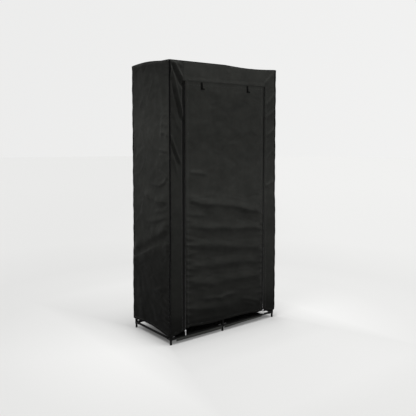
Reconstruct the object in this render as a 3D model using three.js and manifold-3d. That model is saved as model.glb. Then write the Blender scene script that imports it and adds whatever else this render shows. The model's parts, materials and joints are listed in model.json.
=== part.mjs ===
// A portable fabric wardrobe: a cloth cover with a roll-up front door over a light tube frame.
// Millimetres, +X to the viewer's right, -Y to the front, +Z up, origin at the middle of the footprint.
import * as THREE from 'three';
import { mergeVertices } from 'three/addons/utils/BufferGeometryUtils.js';
import Module from 'manifold-3d';

const wasm = await Module();
wasm.setup();

// Frame: sizes between the centre lines of the tubes
const frameWidth = 800;
const frameDepth = 376;
const middlePostShare = 0.474; // of the frame's width, from the left
const tubeRadius = 6.5;
const tubeWall = 0.6;
const tubeSides = 12;
const jointDepth = 0.3; // groove where two lengths of a post meet
const jointWidth = 1.6;
const postJointShares = [0.34, 0.67]; // of the post's length, from its foot

// Plastic connectors at the posts' ends
const connectorRadius = 8.5;
const armLength = 30; // from the post's centre line
const socketDepth = 18;
const railHeight = 33; // floor to the bottom rails' centre line
const capRise = 16.5; // top rails' centre line to the top of the cap
const capShoulder = 11;
const capSteps = 3;
const hubEnd = 9.5; // from the rails' centre line to the hub's closed end
const armStart = 4; // from the post's centre line, inside the hub

// Cloth
const clearance = 0.3; // between pieces that touch
const clothThickness = 1.2;
const coverHeight = 1600;
const sleeveWall = 0.8;
const foldDepth = 4.5;
const foldWidth = 17; // from a fold's crest to where it has nearly gone
const foldFade = 12; // along a seam, where the cloth lies flat
const topSag = 8.2; // of the front edge, right of the middle post
const topBulge = 8.5; // of the left edge, towards the back
const hemHeight = 62;

// Door, zips and ties
const zipSpacing = 614;
const headerHeight = 110; // from the zips' upper ends to the cover's top
const zipBottomHeight = 46;
const zipGap = 2.6; // between the two rows of teeth
const beadRadius = 1.6;
const beadSides = 8;
const beadInset = 0.4; // from the cloth's inner face to the back of the teeth
const doorHem = 72;
const rollDrop = 165; // from the zips' upper ends to where the door starts to roll
const stripCount = 10;
const stripShrinkShare = 0.91; // each strip's length, of the one above it
const rollStandoff = 7; // added to the first strip, so the roll clears the header
const beadEndGap = 2.3; // from a row of teeth's end to the hinge line
const tieWidth = 13;
const tieThickness = 1.2;
const tieDrop = 40;
const tieFootWidth = 26;
const tieFootHeight = 7;
const tieTopDrop = 4; // from the zips' upper ends
const tieShares = [-0.606, 0.537]; // of half the zips' spacing, from the middle

// Zip slider and pull
const sliderWidth = 10;
const sliderLength = 11;
const sliderHeight = 65.5; // its middle when the door is closed
const sliderFront = 1; // plate thicknesses
const sliderBack = 0.6;
const bridgeWidth = 2;
const bailWidth = 1.6;
const bailWall = 0.8;
const bailRise = 3;
const bailLength = 6;
const pullBar = 1;
const pullWidth = 6;
const pullWindow = 4.2; // from the hinge line to the window's far edge
const pullWindowWidth = 3.2;
const pullLength = 26;

// Shelves and floor cloth
const shelfHeights = { lower: 540, upper: 1050 };
const clipHeight = 16;
const floorGap = 70; // bare rail at the right end of the floor cloth
const notchMargin = 1.2; // round a connector

// Where the folds lie
const sideColumns = 8;
const sideRows = 26;
const stripColumns = 8;
const stripRows = 6;
const edgeColumns = 4;
const edgeRows = 30;
const backColumns = 6;
const backRows = 10;
const headerRows = 3;

// Each fold: start across and up, end across and up, and depth.
// Across is a share of the panel's width, up of the cover's height, depth of foldDepth.
const doorFoldShares = [
  [0.02, 0.602, 0.26, 0.579, 0.7],
  [0.07, 0.493, 0.5, 0.468, 1],
  [0.5, 0.468, 0.96, 0.421, 1],
  [0, 0.4, 1, 0.358, 0.8],
  [0, 0.33, 1, 0.286, 0.9],
  [0, 0.255, 1, 0.226, 0.8],
  [0, 0.202, 1, 0.171, 0.8],
  [0.25, 0.132, 0.67, 0.132, 0.7],
  [0.78, 0.066, 0.96, 0.109, 0.7],
];
const sideFoldShares = [
  [0, 0.277, 1, 0.388, 1],
  [0, 0.25, 1, 0.335, 0.8],
  [0.75, 0.53, 1, 0.497, 0.9],
  [0.5, 0.74, 0.9, 0.66, 0.7],
  [0.2, 0.95, 0.75, 0.88, 0.5],
  [0.1, 0.6, 0.45, 0.53, 0.5],
];
const frontLeftFoldShares = [
  [0, 0.92, 0.75, 0.83, 0.8],
  [0.1, 0.89, 0.65, 0.71, 0.7],
  [0, 0.62, 0.6, 0.54, 0.8],
  [0.2, 0.42, 0.9, 0.36, 0.6],
  [0.2, 0.25, 0.9, 0.19, 0.6],
];
const frontRightFoldShares = [
  [0.1, 0.88, 0.9, 0.8, 0.8],
  [0.1, 0.74, 0.9, 0.64, 0.8],
  [0.2, 0.56, 0.9, 0.48, 0.6],
];
const backFoldShares = [
  [0.1, 0.8, 0.9, 0.74, 0.6],
  [0.1, 0.5, 0.9, 0.56, 0.8],
  [0.1, 0.26, 0.9, 0.2, 0.8],
];

// Height of each hem along its panel, as shares: place along the panel, height of hemHeight.
const leftHemShares = [[0, 0.81], [0.27, 0.86], [0.5, 0.92], [0.77, 0.98], [1, 1]]; // front to back
const rightHemShares = [[0, 0.84], [0.5, 0.9], [1, 1]];
const frontLeftHemShares = [[0, 0.81], [0.6, 0.95], [1, 1.1]];
const frontRightHemShares = [[0, 0.95], [1, 0.84]];
const backHemShares = [[0, 1], [1, 1]];
// Of doorHem
const doorHemShares = [[0, 1], [0.7, 1], [0.84, 0.8], [0.94, 0.81], [0.985, 1], [1, 1]];
const bulgeEndShare = 0.8; // of the cover's depth, from the back
const bulgeReachShare = 0.4; // of the cover's width, from the left

// Worked out
const postX = { left: -frameWidth / 2, middle: frameWidth * (middlePostShare - 1 / 2), right: frameWidth / 2 };
const postY = { front: -frameDepth / 2, back: frameDepth / 2 };
const coverOut = connectorRadius + clearance + clothThickness; // from the posts' centre lines
const coverX = frameWidth / 2 + coverOut;
const coverY = frameDepth / 2 + coverOut;
const panelX = coverX - clothThickness - clearance; // where the front and back panels end
const zipTopHeight = coverHeight - headerHeight;
const rollHeight = zipTopHeight - rollDrop;
const tieTopHeight = zipTopHeight - tieTopDrop;
const underTop = clothThickness + clearance; // from the cover's top down to the panels' top edges
const topRailHeight = coverHeight - underTop - capRise;
const sagStart = postX.middle + connectorRadius;
const sagEnd = postX.right - connectorRadius;
const socketRadius = tubeRadius + clearance;
const tubeStart = armLength - socketDepth + clearance; // from a post's centre line to a rail's end
const stripGap = clearance / 2; // from a strip's end to its hinge line, on the cloth's outer face
const beadY = -coverY + clothThickness - beadInset - beadRadius;
const doorX = (zipSpacing - zipGap) / 2 - beadRadius; // centre of the door's teeth
const stripX = (zipSpacing + zipGap) / 2 + beadRadius; // centre of the front strips' teeth
const overrun = clearance; // past a face that a cut goes through

// Looks
const fabricLook = { color: 0x1b1b1d, roughness: 0.85, metalness: 0 };
const tubeLook = { color: 0x151515, roughness: 0.45, metalness: 0.4 };
const plasticLook = { color: 0x18181a, roughness: 0.6, metalness: 0 };
const metalLook = { color: 0xb9babc, roughness: 0.35, metalness: 0.9 };

// Geometry with welded corners and its faces pointing out
function welded(geometry) {
  geometry.deleteAttribute('normal');
  geometry.deleteAttribute('uv');
  const merged = mergeVertices(geometry);
  const place = merged.getAttribute('position');
  const corners = Array.from(merged.index.array);
  const faces = [];
  for (let k = 0; k < corners.length; k += 3) {
    const [a, b, c] = corners.slice(k, k + 3);
    if (a !== b && b !== c && c !== a) faces.push([a, b, c]);
  }
  const at = (i) => new THREE.Vector3().fromBufferAttribute(place, i);
  const volume = faces.reduce((sum, [a, b, c]) => sum + at(a).dot(at(b).cross(at(c))), 0);
  merged.setIndex(faces.flatMap(([a, b, c]) => (volume < 0 ? [a, c, b] : [a, b, c])));
  return merged;
}

function toSolid(geometry) {
  const closed = welded(geometry);
  const vertProperties = new Float32Array(closed.getAttribute('position').array);
  const triVerts = new Uint32Array(closed.index.array);
  return new wasm.Manifold(new wasm.Mesh({ numProp: 3, vertProperties, triVerts }));
}

function toGeometry(solid) {
  const mesh = solid.getMesh();
  const geometry = new THREE.BufferGeometry();
  geometry.setAttribute('position', new THREE.BufferAttribute(mesh.vertProperties, 3));
  geometry.setIndex(new THREE.BufferAttribute(mesh.triVerts, 1));
  return geometry;
}

function join(first, ...others) {
  return toGeometry(others.reduce((body, other) => body.add(toSolid(other)), toSolid(first)));
}

function cut(first, ...tools) {
  return toGeometry(tools.reduce((body, tool) => body.subtract(toSolid(tool)), toSolid(first)));
}

function mesh(name, geometry, look, x = 0, y = 0, z = 0) {
  const closed = welded(geometry);
  closed.computeVertexNormals();
  const made = new THREE.Mesh(closed, new THREE.MeshStandardMaterial(look));
  made.name = name;
  made.position.set(x, y, z);
  return made;
}

// Turns what was made along Y on to the axis, then moves it so that its middle is at `middle` there
function lay(geometry, axis, middle, side = {}) {
  if (axis === 'x') geometry.rotateZ(-Math.PI / 2);
  if (axis === 'z') geometry.rotateX(Math.PI / 2);
  const place = { x: 0, y: 0, z: 0, ...side, [axis]: middle };
  return geometry.translate(place.x, place.y, place.z);
}

function bar(axis, radius, from, to, side) {
  const length = Math.abs(to - from);
  return lay(new THREE.CylinderGeometry(radius, radius, length, tubeSides), axis, (from + to) / 2, side);
}

function box(from, to) {
  const size = from.map((low, i) => to[i] - low);
  const middle = from.map((low, i) => (low + to[i]) / 2);
  return new THREE.BoxGeometry(...size).translate(...middle);
}

// An open tube along the axis with its middle at zero, grooved at each share of its length
function tube(axis, length, grooveShares = []) {
  const bore = tubeRadius - tubeWall;
  const half = length / 2;
  const grooves = grooveShares.flatMap((share) => {
    const at = length * share - half;
    return [
      new THREE.Vector2(tubeRadius, at - jointWidth / 2),
      new THREE.Vector2(tubeRadius - jointDepth, at),
      new THREE.Vector2(tubeRadius, at + jointWidth / 2),
    ];
  });
  const profile = [
    new THREE.Vector2(bore, -half),
    new THREE.Vector2(tubeRadius, -half),
    ...grooves,
    new THREE.Vector2(tubeRadius, half),
    new THREE.Vector2(bore, half),
    new THREE.Vector2(bore, -half),
  ];
  return lay(new THREE.LatheGeometry(profile, tubeSides), axis, 0);
}

// A connector about its post's centre line, at the height of its rails: arms out, and one to the post
function connector(arms, postSign, ending) {
  const hub = bar('z', connectorRadius, -postSign * hubEnd, postSign * armLength);
  const sleeves = arms.map(([axis, sign]) => bar(axis, connectorRadius, sign * armStart, sign * armLength));
  const reach = [...arms, ['z', postSign]];
  const floor = armLength - socketDepth;
  const sockets = reach.map(([axis, sign]) => bar(axis, socketRadius, sign * floor, sign * (armLength + overrun)));
  return cut(join(hub, ending, ...sleeves), ...sockets);
}

function footPeg() {
  return bar('z', tubeRadius, -railHeight, 0);
}

// A domed end over the hub
function cap() {
  const dome = Array.from({ length: capSteps + 1 }, (_, i) => {
    const angle = (Math.PI / 2) * (i / capSteps);
    return new THREE.Vector2(
      tubeRadius * Math.cos(angle),
      capShoulder + (capRise - capShoulder) * Math.sin(angle),
    );
  });
  dome[capSteps].x = 0;
  const profile = [new THREE.Vector2(0, 0), new THREE.Vector2(tubeRadius, 0), ...dome];
  return lay(new THREE.LatheGeometry(profile, tubeSides), 'z', 0);
}

// A rail that clips round two bars: along X, ringed about `ringAxis` at both ends
function clippedRail(length, ringAxis) {
  const half = length / 2;
  const ends = [-half, half];
  const rings = ends.map((x) => bar(ringAxis, connectorRadius, -clipHeight / 2, clipHeight / 2, { x }));
  const holes = ends.map((x) => bar(ringAxis, socketRadius, -clipHeight, clipHeight, { x }));
  const bore = bar('x', tubeRadius - tubeWall, -half, half);
  return cut(join(bar('x', tubeRadius, -half, half), ...rings), bore, ...holes);
}

// A closed sheet over a grid: place(u, v) is a point of its outer face, inward the step to its inner face
function sheet(us, vs, place, inward, keep = () => true) {
  const corners = us.flatMap((u) => vs.flatMap((v) => {
    const outer = place(u, v);
    return [outer, outer.map((value, i) => value + inward[i])];
  })).flat();
  const index = (i, j, face) => (i * vs.length + j) * 2 + face;
  const kept = (i, j) => i >= 0 && j >= 0 && i < us.length - 1 && j < vs.length - 1 && keep(i, j);
  const faces = [];
  const quad = (a, b, c, d) => faces.push(a, b, c, a, c, d);
  for (let i = 0; i < us.length - 1; i += 1) {
    for (let j = 0; j < vs.length - 1; j += 1) {
      if (!kept(i, j)) continue;
      const ring = [[i, j], [i + 1, j], [i + 1, j + 1], [i, j + 1]];
      quad(...ring.map(([a, b]) => index(a, b, 0)));
      quad(...ring.map(([a, b]) => index(a, b, 1)).reverse());
      const beyond = [[i, j - 1], [i + 1, j], [i, j + 1], [i - 1, j]];
      beyond.forEach((cell, k) => {
        if (kept(...cell)) return;
        const [from, to] = [ring[k], ring[(k + 1) % 4]];
        quad(index(...to, 0), index(...from, 0), index(...from, 1), index(...to, 1));
      });
    }
  }
  const geometry = new THREE.BufferGeometry();
  geometry.setAttribute('position', new THREE.Float32BufferAttribute(corners, 3));
  geometry.setIndex(faces);
  return geometry;
}

const steps = (count) => Array.from({ length: count + 1 }, (_, i) => i / count);
const mix = (from, to, share) => from + (to - from) * share;
const smooth = (value) => THREE.MathUtils.smoothstep(value, 0, 1);
const hump = (share) => Math.sin(Math.PI * THREE.MathUtils.clamp(share, 0, 1));

// Straight lines through a table of places and values, both shares
function along(tableShares, share) {
  const next = Math.max(1, tableShares.findIndex(([place]) => place >= share));
  const [[placeA, valueA], [placeB, valueB]] = [tableShares[next - 1], tableShares[next]];
  return mix(valueA, valueB, (share - placeA) / (placeB - placeA));
}

// How far the cloth stands out at a place on a panel: the deepest of its folds there
function foldAt(foldShares, panelWidth, across, height) {
  const point = new THREE.Vector2(across, height);
  const depths = foldShares.map(([fromAcross, fromUp, toAcross, toUp, depthShare]) => {
    const from = new THREE.Vector2(fromAcross * panelWidth, fromUp * coverHeight);
    const to = new THREE.Vector2(toAcross * panelWidth, toUp * coverHeight);
    const run = to.clone().sub(from);
    const share = THREE.MathUtils.clamp(point.clone().sub(from).dot(run) / run.lengthSq(), 0, 1);
    const away = from.addScaledVector(run, share).distanceTo(point) / foldWidth;
    return foldDepth * depthShare * Math.exp(-away * away);
  });
  return Math.max(0, ...depths);
}

// The cover's top: its front edge sags right of the middle post, its left edge bulges towards the back
function topAt(x, y) {
  const across = (x + coverX) / (2 * coverX);
  const deep = (y + coverY) / (2 * coverY);
  const sag = topSag * hump((x - sagStart) / (sagEnd - sagStart)) * (1 - smooth(deep));
  const bulge = topBulge * hump((1 - deep) / bulgeEndShare) * (1 - smooth(across / bulgeReachShare));
  return coverHeight - sag + bulge;
}

// The places across the front where the header and the top share their columns
const doorPlaces = steps(stripColumns).map((share) => mix(-doorX, doorX, share));
const frontPlaces = [-panelX, ...doorPlaces, panelX, sagStart, sagEnd].sort((a, b) => a - b);

function sidePanel(sign, foldShares, hemShares) {
  return sheet(steps(sideColumns), steps(sideRows), (u, v) => {
    const y = mix(-coverY, coverY, u);
    const top = topAt(sign * coverX, y) - underTop;
    const z = mix(hemHeight * along(hemShares, u), top, v);
    const fade = smooth((coverY - Math.abs(y)) / foldFade) * smooth((top - z) / foldFade);
    const fold = foldAt(foldShares, 2 * coverY, coverY - y, z) * fade;
    return [sign * (coverX + fold), y, z];
  }, [-sign * clothThickness, 0, 0]);
}

function backPanel() {
  return sheet(steps(backColumns), steps(backRows), (u, v) => {
    const x = mix(-panelX, panelX, u);
    const top = topAt(x, coverY) - underTop;
    const z = mix(hemHeight * along(backHemShares, u), top, v);
    const fade = smooth((panelX - Math.abs(x)) / foldFade) * smooth((top - z) / foldFade);
    const fold = foldAt(backFoldShares, 2 * panelX, x + panelX, z) * fade;
    return [x, coverY + fold, z];
  }, [0, -clothThickness, 0]);
}

function topPanel() {
  const places = [-coverX, ...frontPlaces.slice(1, -1), coverX];
  return sheet(places, steps(sideColumns), (x, v) => {
    const y = mix(-coverY, coverY, v);
    return [x, y, topAt(x, y)];
  }, [0, 0, -clothThickness]);
}

// A row of zip teeth, joined to the edge of its cloth
function bead(x, from, to) {
  const round = new THREE.CylinderGeometry(beadRadius, beadRadius, to - from, beadSides);
  round.rotateY(Math.PI / beadSides); // a flat towards the cloth's edge
  return lay(round, 'z', (from + to) / 2, { x, y: beadY });
}

function frontStrip(sign, foldShares, hemShares) {
  const edges = sign < 0 ? [-panelX, -stripX] : [stripX, panelX];
  const width = edges[1] - edges[0];
  const cloth = sheet(steps(edgeColumns), steps(edgeRows), (u, v) => {
    const x = mix(...edges, u);
    const top = zipTopHeight - clearance;
    const z = mix(hemHeight * along(hemShares, u), top, v);
    const inset = Math.min(x - edges[0], edges[1] - x);
    const fade = smooth(inset / foldFade) * smooth((top - z) / foldFade);
    return [x, -coverY - foldAt(foldShares, width, x - edges[0], z) * fade, z];
  }, [0, clothThickness, 0]);
  return join(cloth, bead(sign * stripX, zipBottomHeight, zipTopHeight - clearance));
}

function tie(share) {
  const x = share * zipSpacing / 2;
  const front = -coverY - tieThickness;
  const back = -coverY + clothThickness / 2;
  const bottom = tieTopHeight - tieDrop;
  return [
    box([x - tieWidth / 2, front, bottom], [x + tieWidth / 2, back, tieTopHeight]),
    box([x - tieWidth / 2, front, bottom], [x + tieFootWidth - tieWidth / 2, back, bottom + tieFootHeight]),
  ];
}

// The band over the front, with the part of the door that stays up under the ties
function header() {
  const top = (x) => topAt(x, -coverY) - underTop;
  const heights = [rollHeight + stripGap, zipTopHeight, ...steps(headerRows).slice(1)];
  const cloth = sheet(frontPlaces, heights, (x, level) => {
    const z = level <= 1 ? mix(zipTopHeight, top(x), level) : level;
    return [x, -coverY, z];
  }, [0, clothThickness, 0], (i, j) => j > 0 || Math.max(-frontPlaces[i], frontPlaces[i + 1]) <= doorX);
  const teeth = [-doorX, doorX].map((x) => bead(x, rollHeight + beadEndGap, zipTopHeight + beadRadius));
  return join(cloth, ...teeth, ...tieShares.flatMap(tie));
}

// The hinge lines that the door rolls about, from the top: each strip is a share of the one above it
function hingeHeights() {
  const travel = rollHeight - doorHem - rollStandoff;
  const first = travel * (1 - stripShrinkShare) / (1 - stripShrinkShare ** stripCount);
  const heights = [rollHeight];
  for (let i = 0; i < stripCount; i += 1) {
    const standoff = i === 0 ? rollStandoff : 0;
    heights.push(heights[i] - first * stripShrinkShare ** i - standoff);
  }
  return heights;
}

function doorStrip(top, bottom, last) {
  const upper = top - stripGap;
  const cloth = sheet(steps(stripColumns * (last ? 2 : 1)), steps(stripRows), (u, v) => {
    const x = mix(-doorX, doorX, u);
    const lower = last ? doorHem * along(doorHemShares, u) : bottom + stripGap;
    const z = mix(lower, upper, v);
    const below = last ? 1 : smooth((z - lower) / foldFade);
    const fade = smooth((doorX - Math.abs(x)) / foldFade) * smooth((upper - z) / foldFade) * below;
    return [x, -coverY - foldAt(doorFoldShares, 2 * doorX, x + doorX, z) * fade, z];
  }, [0, clothThickness, 0]);
  const end = last ? doorHem : bottom + beadEndGap;
  const teeth = [-doorX, doorX].map((x) => bead(x, end, top - beadEndGap));
  return join(cloth, ...teeth);
}

// Two plates joined by a bridge that runs between the rows of teeth, with a bail in front for the pull
function zipSlider() {
  const innerBack = -coverY + clothThickness + clearance;
  const innerFront = beadY - beadRadius - clearance;
  const half = sliderWidth / 2;
  const tall = sliderLength / 2;
  const front = box([-half, innerFront - sliderFront, -tall], [half, innerFront, tall]);
  const back = box([-half, innerBack, -tall], [half, innerBack + sliderBack, tall]);
  const bridge = box(
    [-bridgeWidth / 2, innerFront - sliderFront / 2, -tall],
    [bridgeWidth / 2, innerBack + sliderBack / 2, tall],
  );
  const face = innerFront - sliderFront;
  const bail = cut(
    box([-bailWidth / 2, face - bailRise, -bailLength / 2], [bailWidth / 2, face + sliderFront / 2, bailLength / 2]),
    box(
      [-bailWidth, face - bailRise + bailWall, -bailLength / 2 + bailWall],
      [bailWidth, face, bailLength / 2 - bailWall],
    ),
  );
  return join(front, back, bridge, bail);
}

const pullY = beadY - beadRadius - clearance - sliderFront - (bailRise - bailWall) / 2;

// A tab about its hinge line, hanging, with a window that lets the bail through
function zipPull() {
  const tab = box([-pullWidth / 2, -pullBar / 2, -pullLength], [pullWidth / 2, pullBar / 2, pullBar / 2]);
  const window = box(
    [-pullWindowWidth / 2, -pullBar, -pullWindow],
    [pullWindowWidth / 2, pullBar, -pullBar / 2],
  );
  return cut(tab, window);
}

// Cloth between two rails along X, with a sleeve round each, about the rails' height
function sleevedCloth(from, to) {
  const outer = socketRadius + sleeveWall;
  const sleeves = Object.values(postY).map((y) => bar('x', outer, from, to, { y }));
  const rails = Object.values(postY).map((y) => bar('x', socketRadius, from - overrun, to + overrun, { y }));
  const flat = box([from, postY.front, outer - clothThickness], [to, postY.back, outer]);
  return cut(join(flat, ...sleeves), ...rails);
}

function floorCloth() {
  const end = armLength + notchMargin;
  const whole = sleevedCloth(postX.left + end, postX.right - armLength - floorGap);
  const reach = connectorRadius + notchMargin;
  const low = railHeight;
  const notches = Object.values(postY).map((y) => box(
    [postX.middle - end, y - coverOut, -low],
    [postX.middle + end, y + coverOut, low],
  ));
  const trimmed = notches.map((notch, k) => notch.translate(0, (k === 0 ? -1 : 1) * (coverOut - reach), 0));
  return cut(whole, ...trimmed);
}

const part = new THREE.Group();

const frame = new THREE.Group();
part.add(frame);
const sides = Object.keys(postX);
const rows = Object.keys(postY);
for (const row of rows) {
  for (const side of sides) {
    const name = `${row}_${side}`;
    const [x, y] = [postX[side], postY[row]];
    const across = { left: [['x', 1]], middle: [['x', -1], ['x', 1]], right: [['x', -1]] }[side];
    const inward = ['y', row === 'front' ? 1 : -1];
    const lowArms = side === 'middle' ? across : [...across, inward];
    frame.add(mesh(`foot_connector_${name}`, connector(lowArms, 1, footPeg()), plasticLook, x, y, railHeight));
    frame.add(mesh(`top_connector_${name}`, connector([...across, inward], -1, cap()), plasticLook, x, y, topRailHeight));
    const length = topRailHeight - railHeight - 2 * tubeStart;
    frame.add(mesh(`post_${name}`, tube('z', length, postJointShares), tubeLook, x, y, (topRailHeight + railHeight) / 2));
  }
  for (const [from, to, side] of [['left', 'middle', 'left'], ['middle', 'right', 'right']]) {
    const length = postX[to] - postX[from] - 2 * tubeStart;
    const middle = (postX[from] + postX[to]) / 2;
    frame.add(mesh(`bottom_rail_${row}_${side}`, tube('x', length), tubeLook, middle, postY[row], railHeight));
    frame.add(mesh(`top_rail_${row}_${side}`, tube('x', length), tubeLook, middle, postY[row], topRailHeight));
  }
}
for (const side of sides) {
  const length = frameDepth - 2 * tubeStart;
  frame.add(mesh(`top_rail_${side}`, tube('y', length), tubeLook, postX[side], 0, topRailHeight));
  if (side === 'middle') continue;
  frame.add(mesh(`bottom_rail_${side}`, tube('y', length), tubeLook, postX[side], 0, railHeight));
}
const rightBay = postX.right - postX.middle;
frame.add(mesh('hanging_rail', clippedRail(rightBay, 'y'), tubeLook, (postX.right + postX.middle) / 2, 0, topRailHeight));

const shelves = new THREE.Group();
part.add(shelves);
for (const [level, height] of Object.entries(shelfHeights)) {
  const leftBay = postX.middle - postX.left;
  const middle = (postX.middle + postX.left) / 2;
  for (const row of rows) {
    shelves.add(mesh(`shelf_${level}_${row}_rail`, clippedRail(leftBay, 'z'), tubeLook, middle, postY[row], height));
  }
  const inset = connectorRadius + notchMargin;
  const cloth = sleevedCloth(postX.left + inset, postX.middle - inset);
  shelves.add(mesh(`shelf_${level}_cloth`, cloth, fabricLook, 0, 0, height));
}
shelves.add(mesh('floor_cloth', floorCloth(), fabricLook, 0, 0, railHeight));

const cover = new THREE.Group();
part.add(cover);
cover.add(mesh('cover_top', topPanel(), fabricLook));
cover.add(mesh('cover_back', backPanel(), fabricLook));
cover.add(mesh('cover_left_side', sidePanel(-1, sideFoldShares, leftHemShares), fabricLook));
cover.add(mesh('cover_right_side', sidePanel(1, sideFoldShares, rightHemShares), fabricLook));
cover.add(mesh('cover_front_left', frontStrip(-1, frontLeftFoldShares, frontLeftHemShares), fabricLook));
cover.add(mesh('cover_front_right', frontStrip(1, frontRightFoldShares, frontRightHemShares), fabricLook));
cover.add(mesh('cover_header', header(), fabricLook));

const door = new THREE.Group();
part.add(door);
const hinges = hingeHeights();
for (let i = 0; i < stripCount; i += 1) {
  const last = i === stripCount - 1;
  door.add(mesh(`door_strip_${i + 1}`, doorStrip(hinges[i], hinges[i + 1], last), fabricLook));
}
for (const [side, sign] of [['left', -1], ['right', 1]]) {
  const x = sign * zipSpacing / 2;
  door.add(mesh(`zip_slider_${side}`, zipSlider(), metalLook, x, 0, sliderHeight));
  door.add(mesh(`zip_pull_${side}`, zipPull(), metalLook, x, pullY, sliderHeight));
}

export default part;
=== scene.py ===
import json
import math
from functools import partial

import bmesh
import bpy
import numpy as np
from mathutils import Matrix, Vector


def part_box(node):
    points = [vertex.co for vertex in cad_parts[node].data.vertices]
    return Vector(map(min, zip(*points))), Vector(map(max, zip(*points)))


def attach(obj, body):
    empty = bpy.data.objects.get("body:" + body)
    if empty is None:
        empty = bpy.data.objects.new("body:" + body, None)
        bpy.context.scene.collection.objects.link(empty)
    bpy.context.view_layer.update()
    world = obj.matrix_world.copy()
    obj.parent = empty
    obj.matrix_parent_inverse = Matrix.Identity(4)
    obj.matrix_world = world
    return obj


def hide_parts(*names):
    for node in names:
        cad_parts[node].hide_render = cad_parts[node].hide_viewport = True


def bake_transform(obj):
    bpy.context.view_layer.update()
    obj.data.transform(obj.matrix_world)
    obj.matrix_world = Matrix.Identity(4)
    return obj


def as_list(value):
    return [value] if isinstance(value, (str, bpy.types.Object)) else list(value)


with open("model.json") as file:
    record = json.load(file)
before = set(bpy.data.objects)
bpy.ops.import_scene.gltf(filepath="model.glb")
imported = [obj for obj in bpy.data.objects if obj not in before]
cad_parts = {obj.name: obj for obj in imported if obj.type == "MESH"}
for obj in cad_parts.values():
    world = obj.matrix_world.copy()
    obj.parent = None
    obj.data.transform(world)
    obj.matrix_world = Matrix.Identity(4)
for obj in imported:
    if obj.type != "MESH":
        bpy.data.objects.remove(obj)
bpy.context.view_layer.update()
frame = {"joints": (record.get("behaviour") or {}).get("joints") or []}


def middle(node, axis):
    """The middle of a solid's box along one axis."""
    return sum(corner[axis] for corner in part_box(node)) / 2


# Sizes in metres, from the frame where it has them
X, Y, Z = range(3)
SIDES = {"left": -1, "right": 1}
COVER_X, COVER_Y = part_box("cover_top")[1][:2]
COVER_TOP = 1.6
POST_X = {side: middle(f"post_front_{side}", X) for side in ("left", "middle", "right")}
POST_Y = {row: middle(f"post_{row}_left", Y) for row in ("front", "back")}
RAIL_Z = middle("bottom_rail_left", Z)
TOP_RAIL_Z = middle("top_rail_left", Z)
TUBE_RADIUS = 0.0065
CONNECTOR_RADIUS = 0.0085
DOOR_HEM = 0.072
SIDE_HEM = 0.062
JOINTS = {joint["name"]: joint for joint in frame["joints"]}
HINGES = [joint["pos_m"][Z] for name, joint in JOINTS.items() if name.startswith("door_roll")]
STRIP_COUNT = len(HINGES)
STRIP_ENDS = HINGES + [DOOR_HEM]
ZIP_X = 0.307
ZIP_TOP = 1.49
ZIP_BOTTOM = 0.046
ZIP_HALF = 0.0016  # from the zip's centre line to the edge of each cloth
TEETH_Y = -0.1988
LAST_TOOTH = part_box("zip_slider_left")[0].z + JOINTS["zip_left"]["range_m"][1] - 0.001  # under a raised slider

CLOTH = 0.0011  # thickness
INWARD = 0.0003  # the most that a crease dips into the room behind a panel
DEEPER = 0.009  # and what it may dip besides where no connector lies behind
SPACING = 0.006  # of the cloth's grid
SEAM_GAP = 0.0004  # between the header and what is sewn below it
CORNER = 0.008  # radius of the cover's upright corners
TOP_CORNER = 0.006
TAPE = 0.0055  # width of the zip's tape that shows on the door
# The left strip's wide band of dark tape cloth beside its zip is painted shade of the gathers there; the right's
# is tape alone
STRIP_TAPE_AND_SHADE = {"left": 0.016, "right": 0.004}  # and on the strip beside it
# Widths of the near-black binding at the panels' edges, which is painted shade along the cover's corners
BINDING = {"strip_left": 0.008, "strip_right": 0.014, "side_front": 0.002, "side_back": 0.016,
           "back": 0.01}
FRONT_BOUND = BINDING["strip_left"] - COVER_X, COVER_X - BINDING["strip_right"]
SEWN = 0.0215  # from the zip to the outer row of stitches
ROW_GAP = 0.0025  # between a seam's two rows
STITCH_IN = 0.004  # from an edge to its row
HEM_ROW = 0.012  # and from a hem to its row
FOLD_UP = 0.15  # height of the band whose rows follow a wavy hem
ROWS_FROM = 0.07  # height where the upright rows of stitches begin
PIPING = 0.0028  # radius of the binding along the upright corners
RIM_PIPING = 0.0018
HEADER_LIP = 0.0016  # how far the header's lower edge stands off the door
SEED = 11


def smooth(value):
    value = np.clip(value, 0, 1)
    return value * value * (3 - 2 * value)


def tapered(share, taper):
    return smooth(share / taper) * smooth((1 - share) / taper)


def hill(value):
    return np.exp(-value ** 2)


def arch(share):
    return np.sin(np.pi * np.clip(share, 0, 1))


def steps(low, high, spacing=SPACING):
    return np.linspace(low, high, max(2, int(round((high - low) / spacing)) + 1))


def along(table, share):
    places, values = zip(*table)
    return np.interp(share, places, values)


# Folds: everything here is a height that stands out of a panel, over a and z, the places across and up it

def crease(a, z, start, end, height, width, bend=0.0, taper=0.25, lean=0.0):
    """A ridge from start to end. lean makes its lower side the steep one; bend bows it sideways."""
    run_a, run_z = end[0] - start[0], end[1] - start[1]
    length = math.hypot(run_a, run_z)
    unit_a, unit_z = run_a / length, run_z / length
    share = ((a - start[0]) * unit_a + (z - start[1]) * unit_z) / length
    across = (z - start[1]) * unit_a - (a - start[0]) * unit_z - bend * arch(share)
    return height * hill(across / (width * np.where(across > 0, 1 + lean, 1 - lean))) * tapered(share, taper)


def drape(a, z, line, height, above, below, taper=0.2):
    """A ridge along a line of (a, z) places: it falls off over a width above its crest and another below."""
    places, crests = zip(*line)
    away = z - np.interp(a, places, crests) - 0.0015 * np.sin(a * 34 + crests[0] * 60)
    height = height * (1 + 0.22 * np.sin(a * 21 + crests[0] * 90) + 0.16 * np.sin(a * 47 + crests[0] * 40))
    share = (a - places[0]) / (places[-1] - places[0])
    return height * hill(away / np.where(away > 0, above, below)) * tapered(share, taper)


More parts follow.
